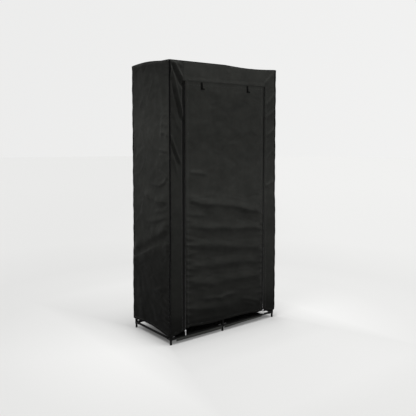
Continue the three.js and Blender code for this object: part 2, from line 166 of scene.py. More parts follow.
def crumple(a, z, box, count, heights, widths, lengths, angles, seed):
    """Short random creases over a region: what cloth keeps from being packed."""
    rng = np.random.RandomState(SEED + seed)
    total = np.zeros(np.broadcast(a, z).shape)
    (low_a, low_z), (high_a, high_z) = box
    for _ in range(count):
        centre = rng.uniform(low_a, high_a), rng.uniform(low_z, high_z)
        angle = rng.uniform(*angles)
        half = rng.uniform(*lengths) / 2
        height = rng.uniform(*heights) * rng.choice((-1, 1))
        width = rng.uniform(*widths)
        bend = rng.uniform(-0.3, 0.3) * half
        step = half * math.cos(angle), half * math.sin(angle)
        start = centre[0] - step[0], centre[1] - step[1]
        end = centre[0] + step[0], centre[1] + step[1]
        total += crease(a, z, start, end, height, width, bend, 0.45)
    return total


def relief(a, z, drapes=(), creases=()):
    """The sum of tables whose rows are what drape and crease ask for."""
    return sum(drape(a, z, *row) for row in drapes) + sum(crease(a, z, *row) for row in creases)


def noise(a, z, cell, seed):
    """Smooth noise of about -1 to 1, in cells of a width and a height."""
    size = 97
    angles = np.random.RandomState(SEED + seed).uniform(0, 2 * np.pi, (size, size))
    u, v = a / cell[0] + size / 2, z / cell[1] + size / 2
    i, j = np.floor(u).astype(int), np.floor(v).astype(int)
    f, g = u - i, v - j
    total = 0
    for di in (0, 1):
        for dj in (0, 1):
            angle = angles[(i + di) % size, (j + dj) % size]
            weight = (smooth(f) if di else 1 - smooth(f)) * (smooth(g) if dj else 1 - smooth(g))
            total = total + weight * (np.cos(angle) * (f - di) + np.sin(angle) * (g - dj))
    return 1.5 * total


def ridges(a, z, cell, seed, lean):
    """Creased cloth from 0 to about 1: crests along the cells' length, which leans by an angle."""
    p = a * math.cos(lean) + z * math.sin(lean)
    q = z * math.cos(lean) - a * math.sin(lean)
    sway = noise(a, z, (cell[0] * 0.8, cell[0] * 0.8), seed + 40)
    total, weights = 0, 0
    for octave in range(3):
        scale = 0.5 ** octave
        field = noise(p + sway * cell[0] * 0.2, q + sway * cell[1] * 0.5, (cell[0] * scale, cell[1] * scale),
                      seed + octave)
        total = total + scale * np.clip(1 - 2.2 * np.abs(field), 0, 1)
        weights += scale
    return total / weights


def puckers(z, seed, period):
    """Small gathers along a seam."""
    rng = np.random.RandomState(SEED + seed)
    total = np.zeros(np.shape(z))
    for _ in range(5):
        wave = period * rng.uniform(0.6, 1.8)
        total += np.sin(2 * np.pi * z / wave + rng.uniform(0, 6.3)) * rng.uniform(0.4, 1)
    return total / 3


def cover_top_at(x, y):
    """The height of the cover's top: it sags over the right bay's front and bulges at the left."""
    across = (x + COVER_X) / (2 * COVER_X)
    deep = (y + COVER_Y) / (2 * COVER_Y)
    start = POST_X["middle"] + CONNECTOR_RADIUS
    end = POST_X["right"] - CONNECTOR_RADIUS
    sag = 0.0082 * arch((x - start) / (end - start)) * (1 - smooth(deep))
    bulge = 0.0085 * arch((1 - deep) / 0.8) * (1 - smooth(across / 0.4))
    return COVER_TOP - sag + bulge


def rounding(distance, radius):
    """How far a panel falls back near the edge where it meets its neighbour."""
    inside = np.clip(radius - distance, 0, radius)
    return radius - np.sqrt(radius ** 2 - inside ** 2)


def wall_rounding(room, headroom):
    """The same for a wall panel, with the room left to its upright corner and to the top."""
    return rounding(room, CORNER) + rounding(headroom, TOP_CORNER)


def inner(*rooms):
    """1 well inside a panel, falling to 0 at its seams."""
    return math.prod(smooth(room / 0.02) for room in rooms)


def standing(height, room, headroom, lift):
    """How far a wall panel stands out of its plane, with its creases and its rounded edges."""
    return np.maximum(height, -INWARD) - wall_rounding(room, headroom) + lift


# Rows for drape: the line of the crest, its height, the widths above and below it, and the taper of its ends
DOOR_DRAPES = (
    (((-0.31, 0.978), (-0.25, 0.973), (-0.2, 0.965), (-0.12, 0.955)), 0.0042, 0.018, 0.008, 0.4),
    (((-0.31, 0.822), (-0.25, 0.812), (-0.2, 0.796), (-0.15, 0.784), (-0.05, 0.776), (0.03, 0.766),
      (0.1, 0.748), (0.18, 0.728), (0.31, 0.702)), 0.0105, 0.034, 0.013, 0.12),
    (((-0.31, 0.74), (-0.24, 0.732), (-0.14, 0.716)), 0.0045, 0.018, 0.011, 0.35),
    (((-0.31, 0.675), (-0.24, 0.665), (-0.14, 0.645), (-0.05, 0.638), (0.05, 0.627), (0.31, 0.607)),
     0.009, 0.028, 0.016, 0.12),
    (((-0.31, 0.568), (-0.24, 0.553), (-0.15, 0.54), (-0.05, 0.527), (0.05, 0.515), (0.15, 0.497),
      (0.31, 0.487)), 0.009, 0.034, 0.018, 0.12),
    (((-0.31, 0.432), (-0.2, 0.423), (-0.1, 0.424), (0.12, 0.414), (0.28, 0.39)), 0.008, 0.034, 0.018, 0.15),
    (((-0.31, 0.34), (-0.2, 0.328), (-0.1, 0.312), (0.05, 0.314), (0.31, 0.3)), 0.0085, 0.034, 0.018, 0.12),
    (((-0.2, 0.224), (-0.09, 0.223), (-0.045, 0.214), (0.0, 0.223), (0.1, 0.219)), 0.008, 0.011, 0.012, 0.25),
    (((0.11, 0.172), (0.18, 0.166), (0.25, 0.142), (0.305, 0.114)), 0.0044, 0.011, 0.01, 0.25),
    (((0.11, 0.155), (0.18, 0.138), (0.26, 0.108)), 0.0034, 0.011, 0.008, 0.3),
    (((-0.31, 0.19), (-0.2, 0.175), (-0.1, 0.163), (0.08, 0.148)), 0.0065, 0.028, 0.018, 0.2),
    (((-0.29, 0.118), (-0.15, 0.106), (0.02, 0.099)), 0.0035, 0.016, 0.01, 0.25),
)
LEFT_BIG_DRAPE = (((-0.2, 0.678), (-0.15, 0.652), (-0.1, 0.63), (-0.05, 0.608), (0.0, 0.585), (0.05, 0.562),
                   (0.1, 0.54), (0.2, 0.495)), 0.015, 0.042, 0.023, 0.12)
SIDE_DRAPES = {-1: (
    (((-0.2, 0.576), (-0.15, 0.567), (-0.1, 0.553), (-0.05, 0.535), (0.0, 0.512), (0.05, 0.49),
      (0.1, 0.47), (0.2, 0.42)), 0.009, 0.016, 0.052, 0.07),
    (((-0.2, 0.738), (-0.15, 0.722), (-0.1, 0.706), (-0.02, 0.692), (0.06, 0.68)), 0.0055, 0.018, 0.011, 0.25),
    (((-0.2, 0.775), (-0.12, 0.76), (-0.04, 0.75)), 0.0045, 0.012, 0.01, 0.3),
    (((-0.2, 0.818), (-0.12, 0.81), (-0.06, 0.814), (0.0, 0.836), (0.09, 0.848)), 0.01, 0.03, 0.013, 0.25),
    (((-0.2, 0.975), (-0.18, 0.95), (-0.15, 0.92), (-0.1, 0.903), (0.0, 0.907)), 0.006, 0.018, 0.008, 0.3),
    (((-0.195, 1.098), (-0.15, 1.1), (-0.09, 1.108)), 0.004, 0.01, 0.007, 0.3),
    (((-0.185, 1.062), (-0.14, 1.072), (-0.09, 1.076)), 0.0035, 0.01, 0.007, 0.3),
    (((-0.198, 1.175), (-0.15, 1.2), (-0.1, 1.196)), 0.0045, 0.014, 0.008, 0.3),
    (((-0.2, 1.236), (-0.165, 1.24), (-0.09, 1.254)), 0.0034, 0.014, 0.012, 0.6),
    (((-0.2, 1.312), (-0.17, 1.308), (-0.1, 1.29)), 0.0022, 0.014, 0.01, 0.6),
    (((-0.19, 0.322), (-0.1, 0.305), (-0.05, 0.292), (0.05, 0.27), (0.15, 0.252)), 0.0065, 0.016, 0.02, 0.2),
    (((-0.19, 0.156), (-0.12, 0.132), (-0.04, 0.108)), 0.0045, 0.012, 0.01, 0.25),
    (((-0.06, 0.225), (0.04, 0.205), (0.15, 0.19)), 0.0035, 0.018, 0.016, 0.3),
), 1: (
    (((-0.2, 0.395), (-0.05, 0.445), (0.08, 0.5), (0.2, 0.53)), 0.011, 0.04, 0.022, 0.15),
    (((-0.2, 0.7), (-0.06, 0.715), (0.1, 0.775)), 0.008, 0.03, 0.015, 0.2),
    (((-0.05, 0.985), (0.06, 1.05), (0.19, 1.11)), 0.006, 0.024, 0.012, 0.25),
    (((-0.19, 0.225), (-0.02, 0.245), (0.14, 0.3)), 0.0065, 0.026, 0.016, 0.2),
)}
# Rows for crease: its start and end, height, width, bend, taper and lean
SIDE_CREASES = {-1: (
    ((-0.095, 1.000), (-0.195, 0.94), 0.005, 0.008, 0.0, 0.25, 0.3),
    ((-0.125, 1.27), (-0.118, 1.15), 0.003, 0.01, 0.0, 0.3),
    ((-0.09, 1.56), (-0.16, 1.34), 0.0035, 0.018, 0.006, 0.3),
), 1: (
    ((0.15, 1.52), (-0.1, 1.4), 0.004, 0.018, 0.01, 0.3, 0.1),
)}
SURROUND_CREASES = (
    ((-0.396, 1.606), (-0.299, 1.462), 0.0115, 0.01, 0.002, 0.15),
    ((-0.408, 1.594), (-0.318, 1.446), -0.009, 0.0085, 0.0, 0.18),
    ((-0.412, 1.59), (-0.312, 1.255), 0.0125, 0.0105, 0.0, 0.13),
    ((-0.425, 1.59), (-0.326, 1.25), -0.0095, 0.009, 0.0, 0.13),
    ((-0.407, 1.6), (-0.392, 1.48), 0.004, 0.0045),
    ((-0.402, 1.47), (-0.375, 1.26), 0.003, 0.008, 0.0, 0.3, 0.2),
    ((-0.404, 1.34), (-0.335, 1.2), 0.003, 0.008, -0.004, 0.3, 0.2),
    ((-0.417, 1.205), (-0.33, 1.005), 0.0085, 0.009, 0.0, 0.2),
    ((-0.429, 1.2), (-0.344, 1.01), -0.007, 0.008, 0.0, 0.2),
    ((-0.404, 1.1), (-0.35, 0.94), 0.0045, 0.008, 0.0, 0.3, 0.2),
    ((-0.385, 1.592), (-0.24, 1.53), 0.003, 0.01, 0.004, 0.25, 0.2),
    ((-0.1, 1.585), (0.05, 1.545), 0.0035, 0.012, 0.0, 0.35, 0.2),
    ((-0.16, 1.548), (0.02, 1.535), 0.0025, 0.01, 0.0, 0.35, 0.2),
    ((0.402, 1.59), (0.3, 1.5), 0.004, 0.01, 0.0, 0.25, 0.2),
    ((0.405, 1.46), (0.312, 1.37), 0.0045, 0.009, 0.004, 0.25, 0.2),
    ((0.405, 1.35), (0.316, 1.29), 0.0045, 0.01, -0.004, 0.3, 0.2),
    ((0.404, 1.24), (0.318, 1.18), 0.005, 0.009, 0.004, 0.25, 0.2),
    ((0.404, 1.11), (0.32, 1.03), 0.0035, 0.01, 0.0, 0.3, 0.2),
    ((0.404, 0.9), (0.316, 0.862), 0.004, 0.009, 0.0, 0.25, 0.2),
)
BACK_CREASES = (
    ((-0.35, 1.3), (0.3, 1.18), 0.006, 0.022, 0.01, 0.25, 0.2),
    ((-0.3, 0.8), (0.36, 0.9), 0.007, 0.026, -0.01, 0.25, 0.2),
    ((-0.36, 0.48), (0.2, 0.4), 0.007, 0.024, 0.01, 0.25, 0.2),
    ((-0.1, 0.3), (0.38, 0.22), 0.006, 0.02, 0.0, 0.25, 0.2),
)
TOP_CREASES = (
    ((-0.38, 0.15), (-0.05, -0.12), 0.004, 0.02, 0.0, 0.3),
    ((0.05, 0.16), (0.36, -0.1), 0.0035, 0.018, 0.02, 0.3),
)
# Rows for crumple, for the door's rumpled lower half
DOOR_CRUMPLES = (
    (((-0.3, 0.08), (0.3, 0.82)), 60, (0.0005, 0.0018), (0.007, 0.015), (0.1, 0.35), (-0.28, 0.08), 1),
    (((-0.3, 0.175), (-0.08, 0.84)), 46, (0.0008, 0.0022), (0.005, 0.009), (0.05, 0.16), (-0.22, 0.06), 3),
    (((0.1, 0.175), (0.3, 0.84)), 34, (0.0008, 0.002), (0.005, 0.009), (0.05, 0.14), (-0.3, 0.02), 4),
)


# The surface of each panel: out(a, z, lift) gives points lift metres off the cloth

def zip_fold(x):
    """The folded edge of the cloth beside each zip's tape."""
    away = np.abs(x) - ZIP_X
    edge = np.where(away > 0, away - np.where(x > 0, STRIP_TAPE_AND_SHADE["right"], STRIP_TAPE_AND_SHADE["left"]), -away - TAPE)
    return 0.0007 * hill((edge - 0.0035) / 0.003)


def door_height(x, z):
    folds = relief(x, z, DOOR_DRAPES)
    lower = smooth((0.86 - z) / 0.25)
    fine = crumple(x, z, ((-0.3, 0.08), (0.3, 1.47)), 150, (0.0002, 0.001), (0.006, 0.018),
                   (0.05, 0.22), (-0.7, 0.5), 0)
    low = sum(crumple(x, z, *row) for row in DOOR_CRUMPLES)
    soft = 0.002 * noise(x, z, (0.22, 0.15), 60) + 0.0011 * noise(x, z, (0.07, 0.05), 61)
    inward = ZIP_X - np.abs(x)
    gathers = np.maximum(puckers(z + 0.18 * inward, 2, 0.026) + 0.25, 0) * (0.0002 + 0.0062 * lower)
    gathers *= smooth((inward - TAPE) / 0.01) * hill(inward / np.where(x < 0, 0.052, 0.04))
    level = smooth(inward / 0.05) * smooth((ZIP_TOP - 0.015 - z) / 0.04)
    rumpled = 1 + 0.5 * smooth((z - 0.88) / 0.12)
    return (folds + low + (fine + soft) * rumpled + 0.0012) * level + gathers + zip_fold(x)


def surround_height(x, z):
    """The two front strips and the header over the door, as one cloth."""
    outward = np.abs(x) - ZIP_X
    to_corner = COVER_X - np.abs(x)
    strain = relief(x, z, creases=SURROUND_CREASES)
    fine = crumple(x, z, ((-0.41, 0.06), (0.41, 1.58)), 90, (0.0002, 0.001), (0.006, 0.016),
                   (0.05, 0.18), (-0.9, 0.9), 6)
    soft = 0.0016 * noise(x, z, (0.1, 0.12), 70) + 0.0009 * noise(x, z, (0.045, 0.05), 71)
    belly = np.where(x > 0, 0.0015, 0.0045) * np.clip(outward / (COVER_X - ZIP_X), 0, 1)
    opening = np.hypot(np.maximum(outward, 0), np.maximum(z - ZIP_TOP, 0))
    inset = np.minimum(np.minimum(opening, to_corner), cover_top_at(x, -COVER_Y) - z)
    gathers = puckers(z, 5, 0.034) * 0.0011 * smooth(outward / 0.01) * hill(to_corner / 0.022)
    # The left fans lie flat where the slider stands when its zip is closed
    strain *= 1 - smooth((x + ZIP_X + 0.018) / 0.01) * smooth((z - 1.425) / 0.015) * (x < 0)
    return (strain + fine + soft + belly) * smooth(inset / 0.016) + gathers + zip_fold(x) * (z < ZIP_TOP)


def widened(x, z):
    """The cover's lower half stands out a little at its ends."""
    share = smooth((np.abs(x) - ZIP_X) / (COVER_X - ZIP_X))
    right = 0.0055 * smooth((0.82 - z) / 0.16) * smooth(z / 0.12)
    left = 0.0045 * smooth((0.62 - z) / 0.3)
    return x + np.where(x > 0, right, -left) * share


def front_out(x, z, lift=0.0):
    is_door = (np.abs(x) < ZIP_X) & (z < ZIP_TOP)
    height = np.where(is_door, door_height(x, z), surround_height(x, z))
    # High up between the left post and the zip, a crease has room behind it
    free = smooth((0.389 + x) / 0.012) * smooth((-ZIP_X - 0.01 - x) / 0.012) * smooth((z - 1.07) / 0.02)
    height = np.maximum(height, -INWARD - DEEPER * free)
    over = smooth((ZIP_X + 0.002 - np.abs(x)) / 0.004) * (z >= ZIP_TOP)
    height = height + HEADER_LIP * over * smooth((ZIP_TOP + 0.018 - z) / 0.006)
    back = wall_rounding(COVER_X - np.abs(x), cover_top_at(x, -COVER_Y) - z)
    return np.stack([widened(x, z), -COVER_Y - height + back - lift, z], -1)


def side_out(sign, y, z, lift=0.0):
    right = int(sign > 0)
    deep = (y + COVER_Y) / (2 * COVER_Y)
    room, headroom = COVER_Y - np.abs(y), cover_top_at(sign * COVER_X, y) - z
    folds = relief(y, z, SIDE_DRAPES[sign], SIDE_CREASES[sign])
    if not right:
        folds = folds + drape(y, z, *LEFT_BIG_DRAPE) * (1 - 0.55 * smooth(deep))
    fine = crumple(y, z, ((-0.19, 0.08), (0.19, 1.58)), 150, (0.0003, 0.0017), (0.005, 0.015),
                   (0.05, 0.2), (-1.3, 1.3), 7 + right)
    soft = 0.0027 * noise(y, z, (0.1, 0.16), 80 + right) + 0.0015 * noise(y, z, (0.045, 0.05), 82)
    seam = hill((COVER_Y + y) / 0.045) + 0.5 * hill((COVER_Y - y) / 0.03)
    gathers = puckers(z - 0.15 * y, 12, 0.036) * seam * (0.0012 + 0.0027 * smooth((0.72 - z) / 0.15))
    billow = 0.004 * np.sin(np.pi * deep) * smooth((z - 0.06) / 0.4)
    height = (folds + fine + soft + billow) * inner(room, headroom) + gathers * smooth(room / 0.008)
    wide = widened(np.full(np.shape(z), sign * COVER_X), z)
    return np.stack([wide + sign * standing(height, room, headroom, lift), y, z], -1)


def back_out(x, z, lift=0.0):
    room, headroom = COVER_X - np.abs(x), cover_top_at(x, COVER_Y) - z
    small = crumple(x, z, ((-0.4, 0.07), (0.4, 1.58)), 260, (0.0004, 0.0018), (0.007, 0.02),
                    (0.06, 0.26), (-1.0, 1.0), 14)
    small += ridges(x, z, (0.3, 0.12), 84, 0.15) * 0.005
    height = (relief(x, z, creases=BACK_CREASES) + small) * inner(room, headroom)
    return np.stack([widened(x, z), COVER_Y + standing(height, room, headroom, lift), z], -1)


def top_out(x, y, lift=0.0):
    rooms = COVER_X - np.abs(x), COVER_Y - np.abs(y)
    small = crumple(x, y, ((-0.4, -0.19), (0.4, 0.19)), 110, (0.0003, 0.0015), (0.007, 0.018),
                    (0.05, 0.2), (-1.5, 1.5), 15)
    small += ridges(x, y, (0.16, 0.12), 88, 0.5) * 0.0022
    height = np.maximum((relief(x, y, creases=TOP_CREASES) + small) * inner(*rooms), -INWARD)
    fall = sum(rounding(room, TOP_CORNER) for room in rooms)
    return np.stack([x, y, cover_top_at(x, y) + height - fall + lift], -1)


# Mesh builders

def grid_normals(points):
    """Unit normals of a grid of points, from its two directions."""
    normals = np.cross(np.gradient(points, axis=0), np.gradient(points, axis=1))
    return normals / np.maximum(np.linalg.norm(normals, axis=-1, keepdims=True), 1e-12)


def placed(name, data, materials=()):
    for material in materials:
        data.materials.append(material)
    thing = bpy.data.objects.new(name, data)
    bpy.context.scene.collection.objects.link(thing)
    return thing


def mesh_of(work, name, materials):
    """An object from a bmesh, which it frees."""
    mesh = bpy.data.meshes.new(name)
    work.to_mesh(mesh)
    work.free()
    return placed(name, mesh, materials)


def new_object(name, points, faces, materials):
    mesh = bpy.data.meshes.new(name)
    mesh.from_pydata([tuple(p) for p in points], [], faces)
    mesh.validate()
    return placed(name, mesh, materials)


def cloth(name, points, normals, flat, materials, mask=None, kinds=None, thickness=CLOTH):
    """A sheet of cloth from a grid: outer and inner faces, with rims round its edges.
    flat is the grid's places on the flat cloth; kinds gives each cell's place in the list of materials."""
    columns, rows = points.shape[:2]
    cells = np.ones((columns - 1, rows - 1), bool) if mask is None else mask
    vertices = np.concatenate([points.reshape(-1, 3), (points - normals * thickness).reshape(-1, 3)])
    faces, face_kinds = [], []

    def index(i, j, layer):
        return (layer * columns + i) * rows + j

    for i, j in np.argwhere(cells).tolist():
        ring = [(i, j), (i + 1, j), (i + 1, j + 1), (i, j + 1)]
        faces.append([index(a, b, 0) for a, b in ring])
        faces.append([index(a, b, 1) for a, b in reversed(ring)])
        for k, (near_i, near_j) in enumerate(((i, j - 1), (i + 1, j), (i, j + 1), (i - 1, j))):
            if 0 <= near_i < columns - 1 and 0 <= near_j < rows - 1 and cells[near_i, near_j]:
                continue
            start, stop = ring[k], ring[(k + 1) % 4]
            faces.append([index(*stop, 0), index(*start, 0), index(*start, 1), index(*stop, 1)])
        kind = 0 if kinds is None else int(kinds[i, j])
        face_kinds += [kind] * (len(faces) - len(face_kinds))
    piece = new_object(name, vertices, faces, materials)
    mesh = piece.data
    mesh.polygons.foreach_set("material_index", face_kinds)
    mesh.polygons.foreach_set("use_smooth", [True] * len(faces))
    corners = np.empty(len(mesh.loops), int)
    mesh.loops.foreach_get("vertex_index", corners)
    places = np.concatenate([flat.reshape(-1, 2)] * 2)
    mesh.uv_layers.new(name="cloth").data.foreach_set("uv", places[corners].ravel())
    both = np.concatenate([normals.reshape(-1, 3), -normals.reshape(-1, 3)])
    mesh.normals_split_custom_set_from_vertices([tuple(n) for n in both])
    return piece


def panel_grid(columns, bands):
    """Rows that follow a panel's own edges: bands are (low, high, rows), each a height over the columns."""
    heights = []
    for low, high, rows in bands:
        low, high = (np.broadcast_to(edge, columns.shape) for edge in (low, high))
        shares = np.linspace(0, 1, rows + 1)[(1 if heights else 0):]
        heights += [low + (high - low) * share for share in shares]
    z = np.stack(heights, 1)
    return np.broadcast_to(columns[:, None], z.shape), z


def weld(piece, smooth_angle=40):
    """Welds doubles, points the faces out and sets smooth shading below an angle."""
    work = bmesh.new()
    work.from_mesh(piece.data)
    bmesh.ops.remove_doubles(work, verts=work.verts, dist=1e-6)
    bmesh.ops.recalc_face_normals(work, faces=work.faces)
    for edge in work.edges:
        if len(edge.link_faces) == 2:
            edge.smooth = edge.calc_face_angle(0) < math.radians(smooth_angle)
    for face in work.faces:
        face.smooth = True
    work.to_mesh(piece.data)
    work.free()


def turned(name, profile, direction, place, material):
    """A closed profile of (radius, height), turned about a line that runs along a direction from a place."""
    sides, rings = 32, len(profile)
    vertices, faces = [], []
    for k in range(sides):
        angle = 2 * math.pi * k / sides
        vertices += [Vector((r * math.cos(angle), r * math.sin(angle), h)) for r, h in profile]
        near, far = k * rings, ((k + 1) % sides) * rings
        for i in range(rings):
            after = (i + 1) % rings
            faces.append([near + i, far + i, far + after, near + after])
    turn = Vector((0, 0, 1)).rotation_difference(Vector(direction)).to_matrix()
    piece = new_object(name, [Vector(place) + turn @ vertex for vertex in vertices], faces, [material])
    weld(piece)
    return piece


def united(first, others):
    """One closed body from several, by boolean union."""
    for other in others:
        modifier = first.modifiers.new("join", "BOOLEAN")
        modifier.operation = "UNION"
        modifier.solver = "EXACT"
        modifier.object = other
        joined = bpy.data.meshes.new_from_object(first.evaluated_get(bpy.context.evaluated_depsgraph_get()))
        first.modifiers.clear()
        first.data, old = joined, first.data
        bpy.data.meshes.remove(old)
        bpy.data.objects.remove(other)
    weld(first)
    return first


def merged(name, pieces):
    """Several meshes as one object, without a union."""
    work = bmesh.new()
    materials = []
    for piece in pieces:
        start = len(work.faces)
        work.from_mesh(piece.data)
        work.faces.ensure_lookup_table()
        own = list(piece.data.materials)
        materials += [material for material in own if material not in materials]
        for face in work.faces[start:]:
            face.material_index = materials.index(own[face.material_index])
    whole = mesh_of(work, name, materials)
    for piece in pieces:
        bpy.data.objects.remove(piece)
    return whole


# Materials

def grey(level):
    return (level, level, level)


def opaque(colour):
    return (*colour, 1) if isinstance(colour, tuple) else colour


class Tree:
    """A node tree. Each socket is given a value, or another node's output to link to."""

    def __init__(self, owner):
        owner.use_nodes = True
        self.nodes, self.links = owner.node_tree.nodes, owner.node_tree.links

    def set(self, node, sockets):
        for socket, value in sockets.items():
            if isinstance(value, bpy.types.NodeSocket):
                self.links.new(value, node.inputs[socket])
            else:
                node.inputs[socket].default_value = value

    def add(self, kind, sockets=None, output=0, **settings):
        """A new node, of which this gives one output."""
        node = self.nodes.new("ShaderNode" + kind)
        for setting, value in settings.items():
            setattr(node, setting, value)
        self.set(node, sockets or {})
        return node.outputs[output]

    def place(self):
        return self.add("TexCoord", output="Object")

    def axis(self, name, vector=None):
        return self.add("SeparateXYZ", {"Vector": vector or self.place()}, name)

    def noise(self, vector, scale, detail=4.0, roughness=0.55):
        return self.add("TexNoise", {"Vector": vector, "Scale": scale, "Detail": detail,
                                     "Roughness": roughness})

    def ramp(self, value, low, high, first, last):
        return self.add("MapRange", {"Value": value, "From Min": low, "From Max": high, "To Min": first,
                                     "To Max": last})

    def curve(self, value, table, reach, blue=1.0):
        """A curve through (value, level) places, its values from 0 to a reach. blue scales its blue alone."""
        output = self.add("ValToRGB", {"Fac": self.ramp(value, 0.0, reach, 0.0, 1.0)})
        elements = output.node.color_ramp.elements
        for _ in range(len(table) - 2):
            elements.new(0.5)
        for element, (place, level) in zip(elements, table):
            element.position = place / reach
            element.color = (level, level, level * blue, 1)
        return output

    def mix(self, share, first, second):
        return self.add("Mix", {"Factor": share, "A": opaque(first), "B": opaque(second)}, "Result",
                        data_type="RGBA")

    def maths(self, operation, *values):
        return self.add("Math", dict(enumerate(values)), operation=operation)

    def vector(self, operation, *values, output="Vector"):
        return self.add("VectorMath", dict(enumerate(values)), output, operation=operation)

    def scaled(self, colour, by):
        return self.add("VectorMath", {0: colour, "Scale": by}, "Vector", operation="SCALE")


class Paint(Tree):
    """A material with one principled shader."""

    def __init__(self, name, colour, roughness, metallic=0.0):
        self.material = bpy.data.materials.new(name)
        super().__init__(self.material)
        self.shader = self.nodes["Principled BSDF"]
        self.shade({"Base Color": opaque(colour), "Roughness": roughness, "Metallic": metallic})

    def shade(self, sockets, bumps=()):
        """Sets the shader's sockets. bumps are (height, distance in metres, strength), the broadest first."""
        self.set(self.shader, sockets)
        normal = {}
        for height, distance, strength in bumps:
            bump = {"Height": height, "Distance": distance, "Strength": strength, **normal}
            normal = {"Normal": self.add("Bump", bump)}
        self.set(self.shader, normal)
        return self.material


LIGHT_AND_SHADE_SCALE = 1.6  # what a curve's level of 1 stands for, as the tones below go past 1
# How pale the cover's cloth is painted at heights in metres: painted light high up, painted shade near the floor
FRONT_LIGHT_AND_SHADE = ((0.05, 0.22), (0.13, 0.34), (0.2, 0.6), (0.32, 0.7), (0.55, 0.85), (0.75, 1.0), (0.85, 1.1),
              (1.0, 1.08), (1.1, 0.95), (1.42, 0.97), (1.49, 1.12), (1.54, 1.25), (1.6, 1.32))
LEFT_LIGHT_AND_SHADE = ((0.1, 0.15), (0.25, 0.28), (0.4, 0.33), (0.5, 0.49), (0.6, 0.66), (0.7, 0.8), (0.8, 0.96),
             (1.0, 0.99), (1.1, 1.07), (1.22, 1.28), (1.33, 1.12), (1.42, 0.94), (1.5, 0.82), (1.58, 0.63))
# The left strip is painted darker than the front: painted shade
STRIP_SHADE = 0.79  # of the left strip, against the front


def cover_light_and_shade(tree):
    """How pale the cover is painted at each place, in painted light and shade, as a share of the tables' scale.
    """
    x, y, z = (tree.axis(name) for name in "XYZ")
    front, left = (tree.curve(z, [(height, level / LIGHT_AND_SHADE_SCALE) for height, level in table], COVER_TOP)
                   for table in (FRONT_LIGHT_AND_SHADE, LEFT_LIGHT_AND_SHADE))
    # The left side has painted light and shade of its own, and the left strip's darker painted shade is on the
    # front only
    on_left = tree.ramp(x, -0.4035, -0.4085, 0.0, 1.0)
    off_strip = tree.ramp(x, -ZIP_X - 0.004, -ZIP_X, STRIP_SHADE, 1.0)
    behind = tree.ramp(y, -0.192, -0.186, 0.0, 1.0)
    strips = tree.maths("MULTIPLY", front, tree.maths("MAXIMUM", off_strip, behind))
    kept = tree.maths("MULTIPLY", strips, tree.maths("SUBTRACT", 1.0, on_left))
    return tree.maths("ADD", kept, tree.maths("MULTIPLY", left, on_left))


def make_cover_cloth(name, dark, light, sheen, with_light_and_shade=False):
    """Non-woven cloth: bonded dots over loose fibres, with paler scuffs. Its last argument adds the cover's
    painted light and shade.
    """
    paint = Paint(name, dark, 0.62)
    flat = paint.add("UVMap", output="UV", uv_map="cloth")
    broad = paint.noise(flat, 9.0, 5.0, 0.6)
    fine = paint.noise(flat, 900.0, 3.0, 0.6)
    scuff = paint.noise(flat, 38.0, 6.0, 0.68)
    dots = paint.add("TexVoronoi", {"Scale": 620.0, "Randomness": 0.15, "Vector": flat}, "Distance")
    share = paint.maths("MULTIPLY", paint.ramp(broad, 0.32, 0.72, 0.6, 1.0),
                        paint.ramp(scuff, 0.35, 0.75, 0.8, 1.0))
    colour = paint.mix(share, dark, light)
    if with_light_and_shade:
        colour = paint.scaled(colour, paint.maths("MULTIPLY", cover_light_and_shade(paint), LIGHT_AND_SHADE_SCALE))
    return paint.shade({
        "Base Color": colour, "Roughness": paint.ramp(scuff, 0.3, 0.75, 0.62, 0.5),
        "Specular IOR Level": 0.02, "Sheen Weight": sheen, "Sheen Roughness": 0.45,
        "Sheen Tint": (0.9, 0.92, 0.95, 1),
    }, [(scuff, 0.0005, 0.5), (dots, 0.00018, 0.6), (fine, 0.0001, 0.5)])


def make_tape_cloth():
    """Woven tape: a fine cross weave, a little smoother than the cover."""
    paint = Paint("zip_tape", (0.016, 0.016, 0.015), 0.8)
    flat = paint.add("UVMap", output="UV", uv_map="cloth")
    wave = {"Scale": 260.0, "Distortion": 0.4, "Vector": flat}
    waves = [paint.add("TexWave", wave, "Fac", bands_direction=axis) for axis in "XY"]
    weave = paint.maths("MULTIPLY", *waves)
    colour = paint.mix(weave, (0.011, 0.011, 0.0105), (0.021, 0.021, 0.02))
    return paint.shade({"Base Color": colour, "Specular IOR Level": 0.02}, [(weave, 0.0002, 0.7)])


def make_tube_paint():
    """Satin powder paint over steel, with a faint orange peel and small rubs."""
    paint = Paint("tube_paint", grey(0.006), 0.45)
    peel = paint.noise(paint.place(), 420.0, 2.0)
    rub = paint.noise(paint.place(), 60.0, 6.0, 0.7)
    return paint.shade({
        "Base Color": paint.mix(paint.ramp(rub, 0.6, 0.78, 0.0, 1.0), grey(0.005), grey(0.03)),
        "Roughness": paint.ramp(rub, 0.3, 0.7, 0.38, 0.55), "Specular IOR Level": 0.07,
    }, [(peel, 0.0002, 0.35)])


def make_connector_plastic():
    """Moulded plastic with a spark-eroded grain."""
    paint = Paint("connector_plastic", grey(0.007), 0.55)
    grain = paint.noise(paint.place(), 1600.0, 2.0)
    cloud = paint.noise(paint.place(), 40.0)
    return paint.shade({
        "Base Color": paint.mix(cloud, grey(0.005), grey(0.012)),
        "Roughness": paint.ramp(cloud, 0.3, 0.7, 0.48, 0.64), "Specular IOR Level": 0.07,
    }, [(grain, 0.00015, 0.5)])


def make_zip_metal():
    """Bright plating with fine handling marks."""
    paint = Paint("zip_metal", (0.6, 0.6, 0.61), 0.28, 1.0)
    marks = paint.noise(paint.place(), 700.0, 5.0, 0.7)
    return paint.shade({
        "Base Color": paint.mix(marks, (0.5, 0.5, 0.51), (0.7, 0.7, 0.71)),
        "Roughness": paint.ramp(marks, 0.3, 0.75, 0.2, 0.42),
    }, [(marks, 0.00005, 0.3)])


